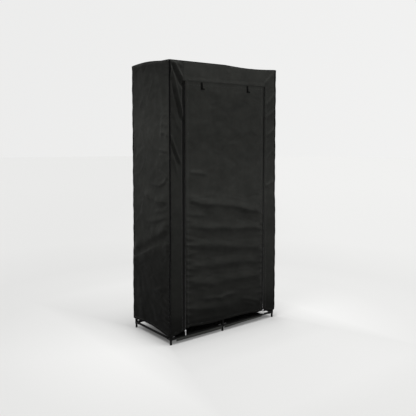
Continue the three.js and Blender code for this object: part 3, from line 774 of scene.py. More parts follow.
def make_thread():
    """Twisted thread."""
    paint = Paint("thread", (0.02, 0.02, 0.022), 0.5)
    twist = paint.noise(paint.place(), 2500.0, 2.0)
    colour = paint.mix(twist, (0.012, 0.012, 0.013), (0.05, 0.05, 0.053))
    return paint.shade({"Base Color": colour, "Sheen Weight": 0.3}, [(twist, 0.0001, 0.6)])


def make_shaded_edging():
    """Binding along the sewn edges: the cover's cloth folded small, painted near black as painted shade in the
    grooves along the edges.
    """
    paint = Paint("edging", grey(0.002), 0.8)
    cloud = paint.noise(paint.place(), 120.0)
    return paint.shade({
        "Base Color": paint.mix(cloud, grey(0.003), grey(0.01)),
        "Roughness": paint.ramp(cloud, 0.3, 0.7, 0.7, 0.9), "Specular IOR Level": 0.05,
    }, [(cloud, 0.0006, 0.6)])


def make_teeth():
    """Nylon zip teeth, paler in patches and towards the bottom."""
    paint = Paint("zip_teeth", grey(0.006), 0.4)
    cloud = paint.noise(paint.place(), 500.0, 2.0)
    paler_share = paint.maths("ADD", paint.ramp(cloud, 0.3, 0.7, 0.0, 0.3),
                       paint.ramp(paint.axis("Z"), 1.1, 0.8, 0.0, 0.7))
    return paint.shade({
        "Base Color": paint.mix(paler_share, grey(0.014), grey(0.062)),
        "Roughness": paint.ramp(cloud, 0.3, 0.7, 0.28, 0.42), "Specular IOR Level": 0.12,
    })


COVER = make_cover_cloth("cover_cloth", (0.0172, 0.0175, 0.0161), (0.0517, 0.0527, 0.0484), 0.02, True)
# A near-black copy of the shelf cloth for the floor sheet: painted shade. The floor's hem keeps the paler shelf
# cloth.
FLOOR = make_cover_cloth("floor_cloth", (0.003, 0.003, 0.0028), (0.007, 0.0072, 0.0067), 0.0)
SHELF = make_cover_cloth("shelf_cloth", (0.03, 0.0305, 0.0285), (0.064, 0.065, 0.061), 0.02)
SHADED_EDGING = make_shaded_edging()
RIBBON = make_cover_cloth("ribbon_cloth", (0.003, 0.003, 0.003), (0.006, 0.006, 0.0058), 0.0)
TAPE_CLOTH = make_tape_cloth()
TUBE = make_tube_paint()
PLASTIC = make_connector_plastic()
METAL = make_zip_metal()
THREAD = make_thread()
TEETH = make_teeth()


def dress(piece, slot, *nodes, body="wardrobe"):
    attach(piece, body)
    if nodes:
        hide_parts(*nodes)


# Small things that repeat: stitches and zip teeth

BAR = ((-1, -1, 0), (1, -1, 0), (1, 1, 0), (-1, 1, 0), (-0.6, -0.45, 1), (0.6, -0.45, 1), (0.6, 0.45, 1),
       (-0.6, 0.45, 1))
BAR_FACES = ((0, 3, 2, 1), (4, 5, 6, 7), (0, 1, 5, 4), (1, 2, 6, 5), (2, 3, 7, 6), (3, 0, 4, 7))


def studs(name, centres, runs, outs, size, material):
    """A low bar at each centre: runs is its direction, outs the way it stands up.
    size is (length, width, height)."""
    length, width, height = size
    sideways = np.cross(outs, runs)
    corners = [centres + runs * (l * length / 2) + sideways * (w * width / 2) + outs * (h * height)
               for l, w, h in BAR]
    faces = [[len(BAR) * k + corner for corner in face] for k in range(len(centres)) for face in BAR_FACES]
    piece = new_object(name, np.stack(corners, 1).reshape(-1, 3), faces, [material])
    piece.data.polygons.foreach_set("use_smooth", [True] * len(faces))
    return piece


def unit(vectors):
    return vectors / np.linalg.norm(vectors, axis=-1, keepdims=True)


def stitches(out, start, end):
    """A row of stitches between two places on a panel. Each is (a, b); b may be a function of a."""
    pitch, sunk, step = 0.0042, 0.00012, 0.0015
    across = 1 if abs(end[0] - start[0]) > 1e-6 else 0
    span = end[0] - start[0] if across else end[1] - start[1]
    count = max(1, int(abs(span) / pitch))
    share = (np.arange(count) + 0.5) / count
    a = start[0] + (end[0] - start[0]) * share
    b = start[1](a) if callable(start[1]) else start[1] + (end[1] - start[1]) * share
    centre = out(a, b, 0.0)
    outward = unit(out(a, b, 0.01) - centre)
    run = unit(out(a + step * across, b + step * (1 - across), 0.0) - centre)
    return studs("stitches", centre - outward * sunk, run, outward, (0.003, 0.00055, 0.0004), THREAD)


def sewn(name, out, runs):
    """Rows of stitches on a panel, each from a start to an end, as one piece."""
    return merged(name, [stitches(out, *run) for run in runs])


def upright(x, low, high):
    return (x, low), (x, high)


def crosswise(edge, height):
    """A run along a height over the panel, which is a function of the place across it."""
    return (-edge, height), (edge, None)


def teeth_row(name, x, low, high, sign):
    """Teeth along a zip: sign is the side of the zip that they grow from."""
    pitch = 0.0024
    places = np.arange(math.ceil(low / pitch), math.floor(high / pitch) + 1) * pitch
    z = places + (0.25 + 0.5 * (sign > 0)) * pitch
    z = z[(z > low) & (z < high)]
    centre = np.stack([np.full(z.shape, x) - sign * 0.0004, np.full(z.shape, TEETH_Y), z], -1)
    run, out = (np.tile(direction, (len(z), 1)) for direction in ([1.0, 0.0, 0.0], [0.0, -1.0, 0.0]))
    return studs(name, centre, run, out, (0.004, 0.0014, 0.0016), TEETH)


# The cover's panels

def edge_in(radius):
    """Where a panel with a rounded corner ends, in from the sharp corner."""
    return radius * (1 - math.sqrt(0.5))


EDGE_X = COVER_X - edge_in(CORNER)
EDGE_Y = COVER_Y - edge_in(CORNER)


def bound_columns(edge, low, high, spacing=SPACING):
    """Columns from -edge to edge, with some where what borders the panel begins beyond low and high."""
    return np.concatenate([np.linspace(-edge, low, 4), steps(low, high, spacing)[1:-1],
                           np.linspace(high, edge, 4)])


def strip_columns(side):
    """Columns across a front strip, with some where the zip's tape and the corner's binding end."""
    near = ZIP_X + ZIP_HALF
    tape_end, binding_start = near + STRIP_TAPE_AND_SHADE[side], COVER_X - BINDING["strip_" + side]
    columns = np.concatenate([np.linspace(near, tape_end, 4), steps(tape_end, binding_start)[1:],
                              np.linspace(binding_start, EDGE_X, 3)[1:]])
    return columns if side == "right" else -columns[::-1]


def cell_kinds(columns, rows, materials, bound):
    """Each cell's place in a list of materials: cover cloth, zip tape, or the binding beyond the bounds."""
    centres = (columns[1:] + columns[:-1]) / 2
    kinds = np.zeros(len(centres), int)
    if TAPE_CLOTH in materials:
        # On the left the band runs wide: painted shade beside the zip
        kinds[(centres > -ZIP_X - STRIP_TAPE_AND_SHADE["left"] - ZIP_HALF) & (centres < -ZIP_X + TAPE)] = 1
        kinds[(centres > ZIP_X - TAPE) & (centres < ZIP_X + STRIP_TAPE_AND_SHADE["right"] + ZIP_HALF)] = 1
    # Cells beyond the bounds get the near-black binding: painted shade along the edges
    if SHADED_EDGING in materials:
        kinds[(centres < bound[0]) | (centres > bound[1])] = materials.index(SHADED_EDGING)
    return np.broadcast_to(kinds[:, None], (len(centres), rows - 1))


def make_panel(name, out, columns, bands, materials, bound=FRONT_BOUND, turn=1):
    """A panel's cloth. turn is -1 where its grid has to be turned over for its outer face to face out."""
    a, z = panel_grid(columns, bands)
    points = out(a, z)
    grids = (points, grid_normals(points) * turn, np.stack([a, z], -1),
             cell_kinds(columns, z.shape[1], materials, bound))
    points, normals, flat, kinds = (grid[::turn] for grid in grids)
    return cloth(name, points, normals, flat, materials, kinds=kinds)


FRONT_HEMS = {-1: ((0, 0.68), (0.25, 0.84), (0.6, 0.95), (1, 1.1)),
              1: ((0, 0.88), (0.25, 0.9), (0.45, 0.82), (0.75, 0.8), (1, 0.78))}
SIDE_HEMS = {-1: ((0, 0.81), (0.12, 0.84), (0.25, 0.98), (0.5, 1.16), (0.72, 1.12), (0.88, 1.0), (1, 0.96)),
             1: ((0, 0.84), (0.5, 0.9), (1, 1))}
DOOR_HEMS = ((0, 1.06), (0.06, 1.16), (0.17, 1.06), (0.3, 0.98), (0.66, 1.02), (0.84, 0.97), (0.92, 0.84),
             (1, 0.88))


def front_hem(x, sign):
    start = -COVER_X if sign < 0 else ZIP_X
    return SIDE_HEM * along(FRONT_HEMS[sign], (x - start) / (COVER_X - ZIP_X))


def side_hem(y, sign):
    return SIDE_HEM * along(SIDE_HEMS[sign], (y + COVER_Y) / (2 * COVER_Y))


def door_hem(x):
    return DOOR_HEM * along(DOOR_HEMS, (x + ZIP_X) / (2 * ZIP_X))


def make_strip(name, side, sign):
    columns = strip_columns(side)
    bands = [(front_hem(columns, sign), FOLD_UP, 16), (FOLD_UP, ZIP_TOP - SEAM_GAP, 224)]
    piece = make_panel(name, front_out, columns, bands, [COVER, TAPE_CLOTH, SHADED_EDGING])
    low, high = sorted((sign * EDGE_X, sign * (ZIP_X + ZIP_HALF)))
    ends = ZIP_BOTTOM + 0.03, ZIP_TOP - STITCH_IN
    runs = [upright(sign * (ZIP_X + ZIP_HALF + away), *ends) for away in (SEWN, SEWN - ROW_GAP)]
    runs.append(upright(sign * (EDGE_X - STITCH_IN), ROWS_FROM, ends[1]))
    runs.append(((low + STITCH_IN, lambda x: front_hem(x, sign) + HEM_ROW), (high - STITCH_IN, None)))
    return piece, sewn(name + "_stitching", front_out, runs)


def make_header():
    columns = bound_columns(EDGE_X, *FRONT_BOUND)
    top = cover_top_at(columns, -COVER_Y) - edge_in(TOP_CORNER)
    band = make_panel("header_band", front_out, columns, [(ZIP_TOP, top, 20)], [COVER, SHADED_EDGING])
    lower = (-ZIP_X, ZIP_TOP + 0.008), (ZIP_X, ZIP_TOP + 0.008)
    upper = crosswise(EDGE_X - 0.006, lambda x: cover_top_at(x, -COVER_Y) - 0.009)
    return band, sewn("header_stitching", front_out, [lower, upper])


def make_door():
    """The door is one cloth, cut half way along each stiff strip so that every piece spans one hinge."""
    edge = ZIP_X - ZIP_HALF
    columns = bound_columns(edge, TAPE - edge, edge - TAPE)
    bottoms = [(STRIP_ENDS[k] + STRIP_ENDS[k + 1]) / 2 for k in range(STRIP_COUNT - 1)] + [DOOR_HEM]
    tops = [ZIP_TOP - SEAM_GAP] + bottoms[:-1]
    upwards = range(STRIP_COUNT)[::-1]
    bands = [(bottoms[k], tops[k], int(round((tops[k] - bottoms[k]) / SPACING))) for k in upwards]
    bands[0] = door_hem(columns), *bands[0][1:]
    a, z = panel_grid(columns, bands)
    points = front_out(a, z)
    grids = points, grid_normals(points), np.stack([a, z], -1)
    materials = [COVER, TAPE_CLOTH]
    kinds = cell_kinds(columns, z.shape[1], materials, FRONT_BOUND)
    start = 0
    for band, k in zip(bands, upwards):
        stop = start + band[2]
        name = f"door_cloth_{k + 1}"
        own = (grid[:, start:stop + 1] for grid in grids)
        piece = cloth(name, *own, materials, kinds=kinds[:, start:stop])
        start = stop
        is_last = k == STRIP_COUNT - 1
        low, high = bottoms[k] + STITCH_IN * is_last, tops[k]
        small = [teeth_row("teeth", -sign * edge, low, min(high, LAST_TOOTH), sign) for sign in (1, -1)]
        runs = [upright(sign * (edge - inset), low, high)
                for sign in (-1, 1) for inset in (SEWN - ROW_GAP, SEWN)]
        if k == 0:
            runs.append(((STITCH_IN - edge, ZIP_TOP - 0.02), (edge - STITCH_IN, ZIP_TOP - 0.02)))
        if is_last:
            runs.append(crosswise(edge - STITCH_IN, lambda x: door_hem(x) + HEM_ROW))
        trim = merged(name + "_trim", small + [stitches(front_out, *run) for run in runs])
        yield k, piece, trim, tops[k] - bottoms[k]


def door_blend(piece, k):
    """Bakes a piece of the door's placement into its mesh; k is not used."""
    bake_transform(piece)


def wall_stitching(name, out, edge, *heights):
    """A row up each end of a wall panel, and one across it at each height."""
    runs = [upright(x, ROWS_FROM, COVER_TOP - 0.02) for x in (STITCH_IN - edge, edge - STITCH_IN)]
    return sewn(name + "_stitching", out, runs + [crosswise(edge - 0.006, height) for height in heights])


def make_side(name, sign):
    bound = BINDING["side_front"] - COVER_Y, COVER_Y - BINDING["side_back"]
    columns = bound_columns(EDGE_Y, *bound)
    top = cover_top_at(sign * COVER_X, columns) - edge_in(TOP_CORNER)
    bands = [(side_hem(columns, sign), FOLD_UP, 16), (FOLD_UP, top, 242)]
    out = partial(side_out, sign)
    piece = make_panel(name, out, columns, bands, [COVER, SHADED_EDGING], bound, sign)
    return piece, wall_stitching(name, out, EDGE_Y, lambda y: side_hem(y, sign) + HEM_ROW,
                                 lambda y: cover_top_at(sign * COVER_X, y) - 0.009)


def make_back():
    bound = BINDING["back"] - COVER_X, COVER_X - BINDING["back"]
    columns = bound_columns(EDGE_X, *bound, 0.007)
    bands = [(SIDE_HEM, cover_top_at(columns, COVER_Y) - edge_in(TOP_CORNER), 220)]
    piece = make_panel("back_cloth", back_out, columns, bands, [COVER, SHADED_EDGING], bound, -1)
    return piece, wall_stitching("back", back_out, EDGE_X, lambda x: np.full(x.shape, SIDE_HEM + HEM_ROW))


def make_top():
    edge_x, edge_y = COVER_X - edge_in(TOP_CORNER), COVER_Y - edge_in(TOP_CORNER)
    columns = steps(-edge_x, edge_x)
    reach = edge_y - rounding(COVER_X - np.abs(columns), CORNER)
    piece = make_panel("top_cloth", top_out, columns, [(-reach, reach, 66)], [COVER])
    x, y = edge_x - STITCH_IN, edge_y - STITCH_IN
    runs = [((-x, side), (x, side)) for side in (-y, y)] + [upright(side, -y, y) for side in (-x, x)]
    return piece, sewn("top_stitching", top_out, runs)


for side, sign in SIDES.items():
    piece, rows = make_strip(f"front_{side}_cloth", side, sign)
    dress(piece, "cover_cloth", f"cover_front_{side}")
    dress(rows, "cover_cloth")
    ends = ZIP_BOTTOM + 0.002, LAST_TOOTH
    dress(teeth_row(f"front_{side}_cloth_teeth", sign * (ZIP_X + ZIP_HALF), *ends, sign), "cover_cloth")

header, header_rows = make_header()
dress(header, "cover_cloth", "cover_header")
dress(header_rows, "cover_cloth")

for k, piece, trim, length in make_door():
    for one in (piece, trim):
        door_blend(one, k)
    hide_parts(f"door_strip_{k + 1}")

for (piece, rows), node, flat in (
    (make_side("left_side_cloth", -1), "cover_left_side", (2 * COVER_Y, 1.545)),
    (make_side("right_side_cloth", 1), "cover_right_side", (2 * COVER_Y, 1.545)),
    (make_back(), "cover_back", (2 * COVER_X, 1.54)),
    (make_top(), "cover_top", (2 * COVER_X, 2 * COVER_Y)),
):
    dress(piece, "cover_cloth", node)
    dress(rows, "cover_cloth")


def seam_tube(name, points, radius, material):
    """Piping along a line."""
    sides = 8
    guide = np.array([0.36, 0.48, 0.8])  # along none of the lines
    run = unit(np.gradient(points, axis=0))
    side = unit(np.cross(run, guide))
    other = np.cross(run, side)
    turns = [2 * math.pi * k / sides for k in range(sides)]
    rings = [points + radius * (math.cos(turn) * side + math.sin(turn) * other) for turn in turns]
    faces = [[i + k, i + (k + 1) % sides, i + sides + (k + 1) % sides, i + sides + k]
             for i in range(0, (len(points) - 1) * sides, sides) for k in range(sides)]
    faces += [list(range(sides))[::-1], [(len(points) - 1) * sides + k for k in range(sides)]]
    piece = new_object(name, np.stack(rings, 1).reshape(-1, 3), faces, [material])
    weld(piece, 80)
    return piece


def make_piping():
    """The sewn edges of the cover: four upright corners, and the rim of its top, in binding painted near black
    as painted shade.
    """
    pieces = []
    for sign_x, sign_y, hem in ((-1, -1, 0.05), (1, -1, 0.052), (-1, 1, SIDE_HEM), (1, 1, SIDE_HEM)):
        z = steps(hem, cover_top_at(sign_x * EDGE_X, sign_y * EDGE_Y) - edge_in(TOP_CORNER), 0.01)
        sway = 0.0004 * np.sin(z * 90 + sign_x) + 0.0005 * np.sin(z * 37 + sign_y)
        points = [widened(sign_x * EDGE_X + sway, z), sign_y * EDGE_Y + sway * sign_x * sign_y, z]
        pieces.append(seam_tube("corner", np.stack(points, -1), PIPING, SHADED_EDGING))
    inset = edge_in(TOP_CORNER)
    across, deep = steps(-EDGE_X, EDGE_X, 0.01), steps(-EDGE_Y, EDGE_Y, 0.01)
    for sign in (-1, 1):
        y = sign * (COVER_Y - inset - rounding(COVER_X - np.abs(across), CORNER))
        x = sign * (COVER_X - inset - rounding(COVER_Y - np.abs(deep), CORNER))
        for line in ((across, y), (x, deep)):
            points = np.stack([*line, cover_top_at(*line) - inset], -1)
            pieces.append(seam_tube("rim", points, RIM_PIPING, SHADED_EDGING))
    return merged("cover_piping", pieces)


dress(make_piping(), "cover_cloth")


# The frame: tubes, connectors and clipped rails

TUBE_WALL = 0.0006
SOCKET_RADIUS = 0.0068
ARM_LENGTH = 0.03
SOCKET_DEPTH = 0.018
ARM_RADIUS = CONNECTOR_RADIUS - 0.0004
HUB = ((0, -0.012), (ARM_RADIUS, -0.012), (ARM_RADIUS, 0.0085), (ARM_RADIUS - 0.001, 0.0095))
AXES = {"x": (1, 0, 0), "y": (0, 1, 0), "z": (0, 0, 1)}


def tube_profile(length, grooves=()):
    half, bore, edge = length / 2, TUBE_RADIUS - TUBE_WALL, 0.0002
    profile = [(bore, -half), (TUBE_RADIUS - edge, -half), (TUBE_RADIUS, -half + edge)]
    floor = TUBE_RADIUS - 0.0003
    for share in grooves:
        at = length * share - half
        profile += [(TUBE_RADIUS, at - 0.001), (floor, at - 0.0006), (floor, at), (TUBE_RADIUS, at + 0.0003)]
    return profile + [(TUBE_RADIUS, half - edge), (TUBE_RADIUS - edge, half), (bore, half)]


def make_tube(node, axis, grooves=()):
    low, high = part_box(node)
    profile = tube_profile((high - low)["xyz".index(axis)], grooves)
    dress(turned(node + "_tube", profile, AXES[axis], (low + high) / 2, TUBE), "frame_tube", node)


def sleeve_profile():
    """A moulded arm with a collar round its mouth and a socket inside."""
    collar, edge = CONNECTOR_RADIUS, 0.0004
    end, floor = ARM_LENGTH, ARM_LENGTH - SOCKET_DEPTH
    return [(0, 0.002), (ARM_RADIUS, 0.002), (ARM_RADIUS, end - 0.0042), (collar, end - 0.0036),
            (collar, end - edge), (collar - edge, end), (SOCKET_RADIUS, end), (SOCKET_RADIUS, floor),
            (0, floor)]


def end_profile(is_foot):
    """From the middle of the connector away from its post: a foot, or a cap."""
    if is_foot:
        foot, bottom = TUBE_RADIUS, RAIL_Z
        return [*HUB, (foot - 0.0004, 0.0098), (foot - 0.0004, 0.0185), (foot, 0.019),
                (foot, bottom - 0.0012), (foot - 0.0004, bottom - 0.0004), (foot - 0.0012, bottom),
                (0, bottom)]
    dome = [(TUBE_RADIUS * math.cos(t), 0.011 + 0.0055 * math.sin(t)) for t in np.linspace(0, math.pi / 2, 7)]
    return [*HUB, (TUBE_RADIUS, 0.0098), *dome[:-1], (0, 0.0165)]


def make_connector(row, side, is_foot):
    node = f"{'foot' if is_foot else 'top'}_connector_{row}_{side}"
    place = Vector((POST_X[side], POST_Y[row], RAIL_Z if is_foot else TOP_RAIL_Z))
    up = 1 if is_foot else -1
    arms = {"left": [(1, 0, 0)], "middle": [(-1, 0, 0), (1, 0, 0)], "right": [(-1, 0, 0)]}[side]
    if not (is_foot and side == "middle"):
        arms = arms + [(0, 1 if row == "front" else -1, 0)]
    body = turned(node + "_body", end_profile(is_foot), (0, 0, -up), place, PLASTIC)
    sleeves = [turned("arm", sleeve_profile(), arm, place, PLASTIC) for arm in arms + [(0, 0, up)]]
    dress(united(body, sleeves), "connector_plastic", node)


def make_clipped_rail(node, ring_axis):
    """A tube between two clips that hold on to the bars at its ends."""
    low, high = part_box(node)
    reach = (high.x - low.x) / 2 - CONNECTOR_RADIUS
    half, flange = 0.008, CONNECTOR_RADIUS
    ring = [(SOCKET_RADIUS, -half), (flange, -half), (flange, -half + 0.0025), (ARM_RADIUS, -half + 0.003),
            (ARM_RADIUS, half - 0.003), (flange, half - 0.0025), (flange, half), (SOCKET_RADIUS, half)]
    pieces = [turned("bar", tube_profile(2 * (reach - 0.0075)), AXES["x"], (low + high) / 2, TUBE)]
    pieces += [turned("clip", ring, AXES[ring_axis], (low + high) / 2 + Vector((sign * reach, 0, 0)), PLASTIC)
               for sign in (-1, 1)]
    piece = merged(node + "_rail", pieces)
    weld(piece)
    dress(piece, "frame_tube", node)


for row in POST_Y:
    for side in POST_X:
        make_tube(f"post_{row}_{side}", "z", (0.34, 0.67))
        make_connector(row, side, True)
        make_connector(row, side, False)
    for level in ("bottom", "top"):
        for side in SIDES:
            make_tube(f"{level}_rail_{row}_{side}", "x")
    for level in ("lower", "upper"):
        make_clipped_rail(f"shelf_{level}_{row}_rail", "z")
for node in ("top_rail_left", "bottom_rail_left", "top_rail_middle", "top_rail_right", "bottom_rail_right"):
    make_tube(node, "y")
make_clipped_rail("hanging_rail", "y")


# Shelves and floor cloth

SLEEVE = 0.0076
SLEEVE_WALL = 0.0008
SHEET_SPACING = 0.008
BAY = POST_X["left"] + 0.0097, POST_X["middle"] - 0.0097  # between the posts' connectors
# The cut in the floor cloth round each middle post: its place across, half its width, and where it starts on Y
NOTCH = POST_X["middle"], 0.0312, 0.178
FLOOR_HEM = ((-0.37, 0.0165), (-0.1, 0.0165), (0.03, 0.0185), (0.12, 0.0225), (0.3, 0.025))


def sleeved_path(rail_z):
    """Across a cloth, from its front sleeve's seam over both rails to its back one's: (y, z) and normal."""
    front, back = POST_Y["front"], POST_Y["back"]

    def sleeve(y, start, end):
        turns = np.linspace(math.radians(start), math.radians(end), 24)
        out_y, out_z = [math.cos(turn) for turn in turns], [math.sin(turn) for turn in turns]
        return [(y + SLEEVE * a, rail_z + SLEEVE * b, a, b) for a, b in zip(out_y, out_z)]

    level = [(y, rail_z + SLEEVE, 0.0, 1.0) for y in steps(front, back, SHEET_SPACING)[1:-1]]
    return np.array(sleeve(front, -40, -270) + level + sleeve(back, 90, -140))


def make_hem(low, high):
    """The floor cloth's edge, which hangs a little below the front rail."""
    columns = steps(low, high)
    a, z = panel_grid(columns, [(along(FLOOR_HEM, columns), RAIL_Z + 0.001, 5)])
    y = POST_Y["front"] - 0.0092 - 0.0012 * np.sin(a * 70) ** 2 * smooth((RAIL_Z - z) / 0.008)
    points = np.stack([a, y, z], -1)
    centres = (columns[1:] + columns[:-1]) / 2
    mask = np.broadcast_to((np.abs(centres - NOTCH[0]) > 0.01)[:, None], (len(centres), z.shape[1] - 1))
    piece = cloth("floor_hem", points, grid_normals(points), np.stack([a, z], -1), [SHELF], mask,
                  thickness=SLEEVE_WALL)
    dress(piece, "shelf_cloth")
    return piece


def make_sleeved(name, node, rail_z, low, high, seed, material, hems=(), notch=None):
    """A cloth stretched between two rails, with a sleeve round each."""
    path_y, path_z, out_y, out_z = sleeved_path(rail_z).T
    columns = steps(low, high, SHEET_SPACING)
    a = np.broadcast_to(columns[:, None], (len(columns), len(path_y)))
    y = np.broadcast_to(path_y, a.shape)
    wrinkles = crumple(a, y, ((low, -0.17), (high, 0.17)), 90, (0.0003, 0.0014), (0.008, 0.02), (0.05, 0.2),
                       (-1.5, 1.5), seed)
    sag = 0.004 * arch((a - low) / (high - low)) * np.cos(np.pi * y / (2 * 0.19))
    height = (wrinkles - sag) * smooth((POST_Y["back"] - 0.012 - np.abs(y)) / 0.03)
    points = np.stack([a, y, path_z + height], -1)
    normals = grid_normals(points)
    normals *= np.sign(normals[..., Y:Z] * out_y[:, None] + normals[..., Z:] * out_z[:, None])
    run = np.concatenate([[0], np.cumsum(np.hypot(np.diff(path_y), np.diff(path_z)))])
    mask = None
    if notch:
        off_x = np.abs((columns[1:] + columns[:-1]) / 2 - notch[0])
        off_y = np.abs((path_y[1:] + path_y[:-1]) / 2)
        mask = ~((off_x < notch[1])[:, None] & (off_y > notch[2])[None, :])
    flat = np.stack([a, np.broadcast_to(run, a.shape)], -1)
    piece = cloth(name, points, normals, flat, [material], mask, thickness=SLEEVE_WALL)
    dress(piece, "shelf_cloth", node)
    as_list(hems)


for level, seed in (("lower", 21), ("upper", 22)):
    rail_z = middle(f"shelf_{level}_front_rail", Z)
    make_sleeved(f"shelf_{level}_sheet", f"shelf_{level}_cloth", rail_z, *BAY, seed, SHELF)
low, high = (corner.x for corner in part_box("floor_cloth"))
# The floor sheet takes the near-black copy as painted shade, and its hem the paler shelf cloth
make_sleeved("floor_sheet", "floor_cloth", RAIL_Z, low, high, 23, FLOOR, [make_hem(low, high)], NOTCH)


# Zip sliders, pulls and ties

SLIDER_Z = middle("zip_slider_left", Z)
SLIDER_FRONT = -0.2017
PULL_Y = middle("zip_pull_left", Y)


def slab(name, outline, low, high, hole=(), bevel=0.0002):
    """An outline in x and z, between two places along y, with its edges softened."""
    work = bmesh.new()
    rings = [[work.verts.new((x, low, z)) for x, z in line] for line in (outline, hole) if line]
    edges = [work.edges.new(pair) for ring in rings for pair in zip(ring, ring[1:] + ring[:1])]
    bmesh.ops.triangle_fill(work, use_beauty=True, use_dissolve=True, edges=edges)
    made = bmesh.ops.extrude_face_region(work, geom=work.faces[:])["geom"]
    moved = [one for one in made if isinstance(one, bmesh.types.BMVert)]
    bmesh.ops.translate(work, vec=(0, high - low, 0), verts=moved)
    bmesh.ops.recalc_face_normals(work, faces=work.faces)
    sharp = [edge for edge in work.edges
             if len(edge.link_faces) == 2 and edge.calc_face_angle(0) > math.radians(60)]
    bmesh.ops.bevel(work, geom=sharp, offset=bevel, segments=2, affect="EDGES", profile=0.5,
                    clamp_overlap=True)
    piece = mesh_of(work, name, [METAL])
    weld(piece, 35)
    return piece


def arc(centre, radius, start, end, count):
    return [(centre[0] + radius * math.cos(t), centre[1] + radius * math.sin(t))
            for t in np.linspace(math.radians(start), math.radians(end), count)]


def make_slider(side, sign):
    node = f"zip_slider_{side}"
    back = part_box(node)[1].y
    x, z, front = sign * ZIP_X, SLIDER_Z, SLIDER_FRONT
    shoulder, waist, tall, nose = 0.005, 0.0034, 0.0055, 0.0018
    outline = [(x - waist, z - tall), (x + waist, z - tall), (x + waist + 0.0004, z - 0.001),
               (x + shoulder, z + 0.0025), *arc((x + 0.0032, z + tall - nose), nose, 0, 90, 5),
               (x, z + tall - 0.0006), *arc((x - 0.0032, z + tall - nose), nose, 90, 180, 5),
               (x - shoulder, z + 0.0025), (x - waist - 0.0004, z - 0.001)]
    wedge = [(x - 0.0004, z - 0.001), (x + 0.0004, z - 0.001), (x + 0.001, z + tall - 0.0012),
             (x - 0.001, z + tall - 0.0012)]
    turn, bow = np.linspace(0, math.pi, 13), 0.0026
    bail = np.stack([np.full(turn.shape, x), front + 0.0004 - bow * np.sin(turn), z - bow * np.cos(turn)], -1)
    piece = merged(node + "_metal", [
        slab("front", outline, front, front + 0.001),
        slab("back", outline, back - 0.0006, back),
        slab("bridge", wedge, front + 0.0005, back - 0.0003, bevel=0.0001),
        seam_tube("bail", bail, 0.0004, METAL),
    ])
    dress(piece, "zip_metal", node, body=node)


def make_pull(side, sign):
    node = f"zip_pull_{side}"
    low, high = (corner.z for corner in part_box(node))
    x, half, round_off = sign * ZIP_X, 0.003, 0.0008
    neck = half * 0.8
    outline = [*arc((x, low + half), half, 180, 360, 13), (x + neck, high - 0.01), (x + neck, high - 0.0012),
               *arc((x + neck - round_off, high - round_off), round_off, 0, 90, 4),
               *arc((x - neck + round_off, high - round_off), round_off, 90, 180, 4), (x - neck, high - 0.01)]
    window = [(x - 0.0014, high - 0.0048), (x - 0.0014, high - 0.0013), (x + 0.0014, high - 0.0013),
              (x + 0.0014, high - 0.0048)]
    tab = slab(node + "_tab", outline, PULL_Y - 0.0005, PULL_Y + 0.0005, window)
    dress(tab, "zip_metal", node, body=node)


def make_tie(name, x):
    """A short ribbon sewn into the seam: it hangs down the door and ends in a turned corner."""
    bottom, length, width = ZIP_TOP - 0.044, 0.04, 0.013

    def ribbon(a, y, z):
        points = np.stack(np.broadcast_arrays(a, y, z), -1)
        return cloth("ribbon", points, grid_normals(points), points[..., ::2], [RIBBON], thickness=0.0007)

    share, columns = np.linspace(0, 1, 13), np.linspace(-width / 2, width / 2, 5)[:, None]
    lift = 0.0009 + 0.0012 * np.sin(np.pi * share) ** 2 + 0.0004 * np.cos(columns * 500)
    sway = 0.0006 * np.sin(share * 5)
    hanging = ribbon(x + columns + sway, -COVER_Y - lift - 0.0006, bottom + length * share)
    share = np.linspace(0, 1, 7)[:, None]
    foot = ribbon(x - width / 2 + share * 0.026, -COVER_Y - 0.003 - 0.0006 * np.sin(share * 3),
                  bottom + np.linspace(0, 0.007, 4) + 0.0008 * np.sin(share * 4))
    piece = merged(name, [hanging, foot])
    dress(piece, "cover_cloth")


for side, sign in SIDES.items():
    make_slider(side, sign)
    make_pull(side, sign)
for name, x in (("tie_left", -0.186), ("tie_right", 0.165)):
    make_tie(name, x)


# Floor, light and camera

# The floor's tone by distance from the origin, in metres, with a darker band from 1.3 to 3 m that is painted
# shade of a soft horizon
FAR_FLOOR = ((0.0, 0.905), (0.6, 0.9), (1.3, 0.79), (1.8, 0.765), (3.0, 0.8), (10.0, 0.815))
# Painted shadow on the floor under and beside the object: distances are from NEAR_START inside its footprint's
# edge
NEAR_START = 0.2
NEAR_FLOOR_SHADOW = ((0.0, 0.3), (0.1, 0.38), (0.2, 0.7), (0.24, 0.73), (0.3, 0.8), (0.4, 0.85), (0.5, 0.875),
              (0.6, 0.91), (0.75, 0.935), (1.1, 1.0))
ALONG_WALL = (0.786, -0.618, 0)  # from left to right in the photo


def seen_rays(tree):
    """1 for the rays of the camera, and of what metal and glass show; 0 for those that light the object."""
    camera, glossy, through = (tree.add("LightPath", output=f"Is {kind} Ray")
                               for kind in ("Camera", "Glossy", "Transmission"))
    return tree.maths("MAXIMUM", tree.maths("MAXIMUM", camera, glossy), through)


def across_frame(tree, vector, reach, colour, low, high):
    """Scales a colour from low to high, from one side of the studio to the other: a painted fall of light."""
    across = tree.vector("DOT_PRODUCT", vector, ALONG_WALL, output="Value")
    return tree.scaled(colour, tree.ramp(across, -reach, reach, low, high))


def blended(tree, share, first, second):
    return tree.add("MixShader", {"Fac": share, 1: first, 2: second})


